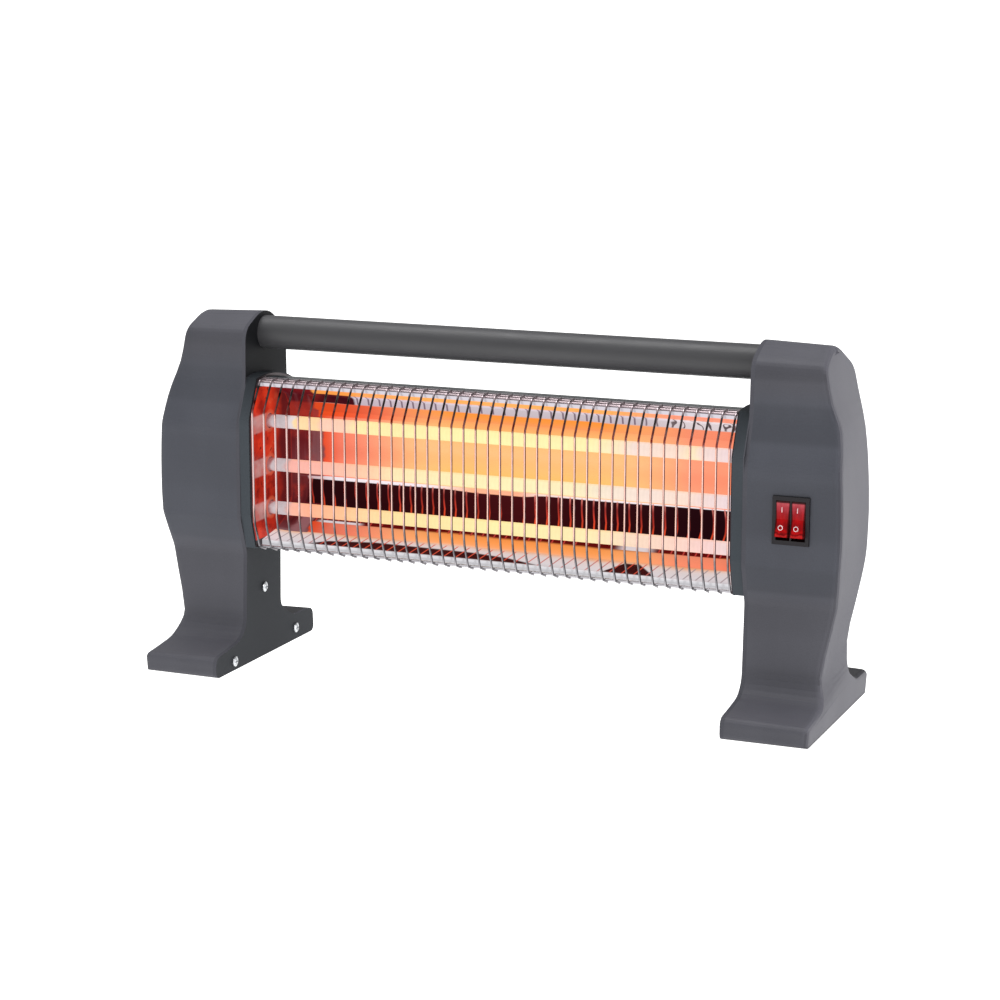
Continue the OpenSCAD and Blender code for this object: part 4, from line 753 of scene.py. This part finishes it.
def end_plate_with_painted_reflections():
    """The same sheet at the ends, with painted reflections held in its colour and given off as
    glow:
    the tube ends as pale bands and rings in a red field. Its cut edge is plain metal."""
    f = Finish("end_plate_aluminium_painted_reflections")
    field = f.ramp(
        f.span(f.noise(46, 4, 0.62), 0.32, 0.68),
        [(0.0, rgb(150, 34, 26)), (0.40, rgb(196, 48, 30)), (0.75, rgb(226, 62, 36)),
         (1.0, rgb(232, 84, 54))],
    )
    spots = f.span(f.noise(170, 3, 0.6), 0.62, 0.72, 0.0, 0.8)
    field = f.mix(spots, field, rgb(64, 14, 16))
    back = f.span(f.math("ADD", f.y, f.wave(60, 0.008)), -0.004, 0.016)
    field = f.mix(back, field, rgb(104, 30, 32))
    pale = None
    ring = None
    for y, z in TUBES.values():
        dy = f.math("SUBTRACT", f.y, y)
        dz = f.math("SUBTRACT", f.z, z)
        squares = f.math("ADD", f.math("MULTIPLY", dy, dy), f.math("MULTIPLY", dz, dz))
        r = f.math("SQRT", squares)
        one = f.band(r, 0.0060, 0.0086, 0.0009)
        tail = f.both(f.span(dy, 0.004, -0.002), f.band(dz, -0.0066, 0.0066, 0.0009))
        pale = tail if pale is None else f.math("MAXIMUM", pale, tail)
        ring = one if ring is None else f.math("MAXIMUM", ring, one)
    cloud = f.span(f.noise(110, 3), 0.3, 0.7, 0.30, 0.72)
    field = f.mix(f.math("MULTIPLY", pale, cloud), field, rgb(214, 172, 168))
    field = f.mix(f.math("MULTIPLY", ring, 0.75), field, rgb(222, 96, 66))
    facing = f.span(f.math("ABSOLUTE", f.split(f.normal)[0]), 0.7, 0.9)
    facing = f.both(facing, f.band(f.z, 0.0970, 0.2130, 0.0004),
                    f.band(f.y, -0.0347, 0.0282, 0.0004))
    field = f.mix(facing, rgb(96, 84, 88), field)
    f.set(base=f.scaled(field, 0.24), metal=1.0,
          rough=f.span(f.noise(120, 2), 0.3, 0.7, 0.20, 0.3),
          normal=f.bump(f.noise(40, 2), 0.05, 0.001), glow=field,
          power=f.span(facing, 0.0, 1.0, 0.10, 0.70))
    return f.m


def red_rocker_with_painted_shade(node):
    """Clear red plastic over a lamp: deep colour low down, painted shade along its flanks and
    under its top edge, a painted milky reflection towards the top, bright lines near the lower
    edge."""
    f = Finish("red_" + node)
    low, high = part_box(node)
    up = f.span(f.z, low.z, high.z)
    across = f.span(f.x, low.x, high.x)
    n = f.noise(260, 3, 0.6)
    # Deep red low down, bright lines near the lower edge, and a painted milky reflection at the
    # top.
    colour = f.ramp(
        f.math("ADD", up, f.wave(320, 0.08, 3)),
        [(0.0, rgb(92, 2, 6)), (0.05, rgb(168, 14, 18)), (0.10, rgb(196, 34, 34)),
         (0.14, rgb(122, 2, 6)), (0.20, rgb(186, 10, 12)), (0.30, rgb(146, 4, 10)),
         (0.50, rgb(172, 8, 12)), (0.66, rgb(170, 26, 34)),
         (0.80, rgb(180, 56, 66)), (0.94, rgb(194, 80, 88)), (1.0, rgb(186, 72, 80))],
    )
    threads = f.span(f.noise(420, 2, 0.5, stretch=(1.0, 1.0, 0.25)), 0.35, 0.65, 0.78, 1.10)
    # Painted shade: the flanks darken, more at the waist, and a dark line lies under the top edge.
    waist = f.span(f.math("ABSOLUTE", f.math("SUBTRACT", up, 0.45)), 0.0, 0.5, 0.17, 0.10)
    edge = f.math("MINIMUM", across, f.math("SUBTRACT", 1.0, across))
    shade = f.span(f.math("SUBTRACT", edge, waist), -0.06, 0.04, 0.16, 1.0, smooth=True)
    shade = f.both(shade, f.span(up, 0.945, 0.965, 1.0, 0.10))
    colour = f.scaled(colour, f.math("MULTIPLY", threads, shade))
    # The lamp's glow gives off the same colours, painted shade and reflection included.
    f.set(base=f.scaled(colour, 0.5), rough=f.span(n, 0.3, 0.7, 0.14, 0.26), spec=0.10,
          glow=colour, power=0.32, normal=f.bump(f.noise(500, 2), 0.05, 0.0003))
    return f.m


def mark_finish():
    """White print, slightly reddened by the plastic under it."""
    f = Finish("mark_white")
    n = f.noise(900, 2)
    f.set(base=f.ramp(f.span(n, 0.3, 0.7), [(0.0, rgb(206, 176, 178)), (1.0, rgb(238, 218, 218))]),
          rough=f.span(n, 0.3, 0.7, 0.4, 0.55), spec=0.2)
    return f.m


polished_aluminium = reflector_with_painted_reflections()
end_aluminium = end_plate_with_painted_reflections()
mark_white = mark_finish()
hot_coil = hot_coil_finish()

FINISHES = {
    "left_leg_shell": leg_plastic, "right_leg_shell": leg_plastic,
    "left_inner_cover": cover_plastic, "right_inner_cover": cover_plastic,
    "left_cover_screws": bright_steel, "right_cover_screws": bright_steel,
    "handle_tube": handle_paint, "handle_plugs": black_plastic, "handle_screws": bright_steel,
    "rear_cover": rear_paint, "reflector": polished_aluminium,
    "left_end_plate": end_aluminium, "right_end_plate": end_aluminium,
    "end_plate_screws": bright_steel,
    "quartz_tube_top": quartz_top, "quartz_tube_middle": quartz_middle,
    "quartz_tube_bottom": quartz_bottom,
    "heating_coil_top": hot_coil, "heating_coil_middle": hot_coil, "heating_coil_bottom": hot_coil,
    "left_ceramic_caps": ceramic, "right_ceramic_caps": ceramic,
    "left_tube_terminals": terminal_brass, "right_tube_terminals": terminal_brass,
    "grille_wires": chromed_wire, "grille_rails": chromed_wire,
    "switch_frame": black_plastic,
    "left_rocker": red_rocker_with_painted_shade("left_rocker"),
    "right_rocker": red_rocker_with_painted_shade("right_rocker"),
    "switch_terminals": terminal_brass,
    "tip_switch_bracket": pale_plastic, "tip_switch_pin": bright_steel,
    "tip_switch_pendulum": terminal_brass, "tip_switch_contacts": terminal_brass,
    "tip_switch_screws": bright_steel, "terminal_block": pale_plastic,
    "terminal_block_screws": bright_steel, "cord_gland": black_plastic,
}
for name, obj in NODES.items():
    obj.data.materials.clear()
    obj.data.materials.append(FINISHES[name])


# ---------------------------------------------------------------- marks on the rockers

# Y from which the rockers' front is looked for
IN_FRONT = -0.5


def on_surface(node, x, z):
    """Axes on the front surface of a node at x, z: origin, right (along X), up, out."""
    mesh = NODES[node].data
    points = [v.co for v in mesh.vertices]
    tree = BVHTree.FromPolygons(points, [p.vertices for p in mesh.polygons])
    at, out, _, _ = tree.ray_cast(Vector((x, IN_FRONT, z)), Vector((0, 1, 0)))
    if out.y > 0:
        out = -out
    right = Vector((1, 0, 0))
    up = out.cross(right).normalized()
    if up.z < 0:
        up = -up
    return at, right, up, out


def new_piece(name, bm, body):
    """A white mark made from bm, which rides on a body and belongs to a slot."""
    mesh = bpy.data.meshes.new(name)
    bmesh.ops.recalc_face_normals(bm, faces=bm.faces)
    bm.to_mesh(mesh)
    bm.free()
    obj = bpy.data.objects.new(name, mesh)
    bpy.context.scene.collection.objects.link(obj)
    mesh.materials.append(mark_white)
    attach(obj, body)


# Sizes of the marks, and how far they stand out
STROKE = 0.0005
PROUD = 0.00012
RING_R = 0.0018
BAR_L = 0.0036
# Share of the rocker's height at which each mark stands, and how far left of the middle
OFF_AT, OFF_LEFT = 0.29, 0.0009
ON_AT, ON_LEFT = 0.77, 0.0006


def ring_mark(name, node, x, z, r=RING_R, stroke=STROKE, proud=PROUD, steps=40):
    """A raised O: a flat ring with a rounded edge."""
    at, right, up, out = on_surface(node, x, z)
    bm = bmesh.new()
    profile = [
        (r - stroke, -proud), (r - stroke, proud * 0.5), (r - stroke * 0.75, proud),
        (r - stroke * 0.25, proud), (r, proud * 0.5), (r, -proud),
    ]
    loops = []
    for k in range(steps):
        a = 2 * math.pi * k / steps
        way = right * math.cos(a) + up * math.sin(a)
        loops.append([bm.verts.new(at + way * radius + out * h) for radius, h in profile])
    for k in range(steps):
        here, there = loops[k], loops[(k + 1) % steps]
        for j in range(len(profile)):
            i = (j + 1) % len(profile)
            bm.faces.new((here[j], there[j], there[i], here[i]))
    new_piece(name, bm, node)


def bar_mark(name, node, x, z, length=BAR_L, stroke=STROKE, proud=PROUD, steps=24):
    """A raised I: a narrow bar with round ends."""
    at, right, up, out = on_surface(node, x, z)
    bm = bmesh.new()
    rim = []
    for k in range(steps):
        a = 2 * math.pi * k / steps
        end = 1 if math.sin(a) >= 0 else -1
        high = end * (length - stroke) / 2 + stroke / 2 * math.sin(a)
        rim.append(right * (stroke / 2 * math.cos(a)) + up * high)
    levels = [(1.0, -proud), (1.0, proud * 0.5), (0.7, proud)]
    loops = [[bm.verts.new(at + p * s + out * h) for p in rim] for s, h in levels]
    for a, b in zip(loops, loops[1:]):
        for k in range(steps):
            i = (k + 1) % steps
            bm.faces.new((a[k], a[i], b[i], b[k]))
    bm.faces.new(loops[-1])
    bm.faces.new(loops[0][::-1])
    new_piece(name, bm, node)


for side in ("left", "right"):
    node = side + "_rocker"
    low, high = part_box(node)
    mid_x = (low.x + high.x) / 2
    tall = high.z - low.z
    ring_mark(side + "_off_mark", node, mid_x - OFF_LEFT, low.z + tall * OFF_AT)
    bar_mark(side + "_on_mark", node, mid_x - ON_LEFT, low.z + tall * ON_AT)


# ---------------------------------------------------------------- stage, light, camera

def stage_floor(half=50.0, count=8, drop=0.0002):
    """A plain white floor that glows, so that no shadow shows on it."""
    f = Finish("pale_floor")
    n = f.noise(2.0, 2)
    tone = f.ramp(f.span(n, 0.3, 0.7), [(0.0, rgb(252, 252, 252)), (1.0, rgb(255, 255, 255))])
    f.set(base=f.scaled(tone, 0.25), rough=0.9, spec=0.0, glow=tone, power=1.45)
    bm = bmesh.new()
    grid = [[bm.verts.new((-half + 2 * half * i / count, -half + 2 * half * j / count, 0.0))
             for i in range(count + 1)] for j in range(count + 1)]
    for j in range(count):
        for i in range(count):
            bm.faces.new((grid[j][i], grid[j][i + 1], grid[j + 1][i + 1], grid[j + 1][i]))
    mesh = bpy.data.meshes.new("floor")
    bm.to_mesh(mesh)
    bm.free()
    mesh.materials.append(f.m)
    obj = bpy.data.objects.new("floor", mesh)
    bpy.context.scene.collection.objects.link(obj)
    obj.location.z = -drop


def soft_light(name, at, to, size, power, colour=(1, 1, 1)):
    """A large soft lamp at one point, turned to another."""
    data = bpy.data.lights.new(name, "AREA")
    data.shape = "RECTANGLE"
    data.size, data.size_y = size
    data.energy = power
    data.color = colour
    obj = bpy.data.objects.new(name, data)
    bpy.context.scene.collection.objects.link(obj)
    obj.location = at
    obj.rotation_euler = (Vector(to) - Vector(at)).to_track_quat("-Z", "Y").to_euler()


stage_floor()
world = bpy.data.worlds.new("studio")
world.use_nodes = True
background = world.node_tree.nodes["Background"]
sky = world.node_tree.nodes
join = world.node_tree.links.new


def sky_step(kind, source, low, high, to_low, to_high):
    """source from low..high becomes to_low..to_high."""
    n = sky.new("ShaderNodeMapRange")
    n.interpolation_type = kind
    n.inputs["From Min"].default_value = low
    n.inputs["From Max"].default_value = high
    n.inputs["To Min"].default_value = to_low
    n.inputs["To Max"].default_value = to_high
    join(source, n.inputs["Value"])
    return n.outputs[0]


# The room: white near the horizon; above that brighter in front than behind, and on the left
# than on the right.
FRONT_LEVEL, REAR_LEVEL = 0.60, 0.26
SIDE_SHARE = 0.35
HORIZON_LOW, HORIZON_HIGH = 0.10, 0.24

way = sky.new("ShaderNodeTexCoord")
apart = sky.new("ShaderNodeSeparateXYZ")
join(way.outputs["Generated"], apart.inputs[0])
lean = sky.new("ShaderNodeMath")
lean.operation = "MULTIPLY_ADD"
lean.inputs[1].default_value = SIDE_SHARE
join(apart.outputs[0], lean.inputs[0])
join(apart.outputs[1], lean.inputs[2])
above = sky_step("LINEAR", lean.outputs[0], -1.0, 1.0, FRONT_LEVEL, REAR_LEVEL)
horizon = sky_step("SMOOTHSTEP", apart.outputs[2], HORIZON_LOW, HORIZON_HIGH, 1.0, 0.0)
blend = sky.new("ShaderNodeMix")
blend.data_type = "FLOAT"
join(horizon, blend.inputs[0])
join(above, blend.inputs[2])
blend.inputs[3].default_value = 1.0
join(blend.outputs[0], background.inputs["Strength"])
background.inputs["Color"].default_value = (1.0, 1.0, 1.0, 1.0)
bpy.context.scene.world = world

soft_light("side_box", (1.25, 0.05, 0.32), (0.26, 0.0, 0.13), (0.6, 0.5), 9.4, (1.0, 0.965, 1.0))
soft_light("top_box", (0.0, -0.1, 2.0), (0, 0, 0.1), (2.2, 1.2), 36)

# The camera's place, the degrees that it looks down and stands round from the front, its lens
CAMERA_AT = (0.7140, -1.69355, 0.52277)
CAMERA_DOWN = 11.83
CAMERA_ROUND = 22.88
CAMERA_LENS = 91.9

camera_data = bpy.data.cameras.new("camera")
camera_data.lens = CAMERA_LENS
camera_data.sensor_width = 36.0
camera_data.clip_start = 0.05
camera_data.clip_end = 200
camera = bpy.data.objects.new("camera", camera_data)
bpy.context.scene.collection.objects.link(camera)
camera.location = CAMERA_AT
camera.rotation_euler = (math.radians(90 - CAMERA_DOWN), 0, math.radians(CAMERA_ROUND))
bpy.context.scene.camera = camera

view = bpy.context.scene.view_settings
view.view_transform = "Standard"
view.look = "None"
view.exposure = 0.0
view.gamma = 1.0
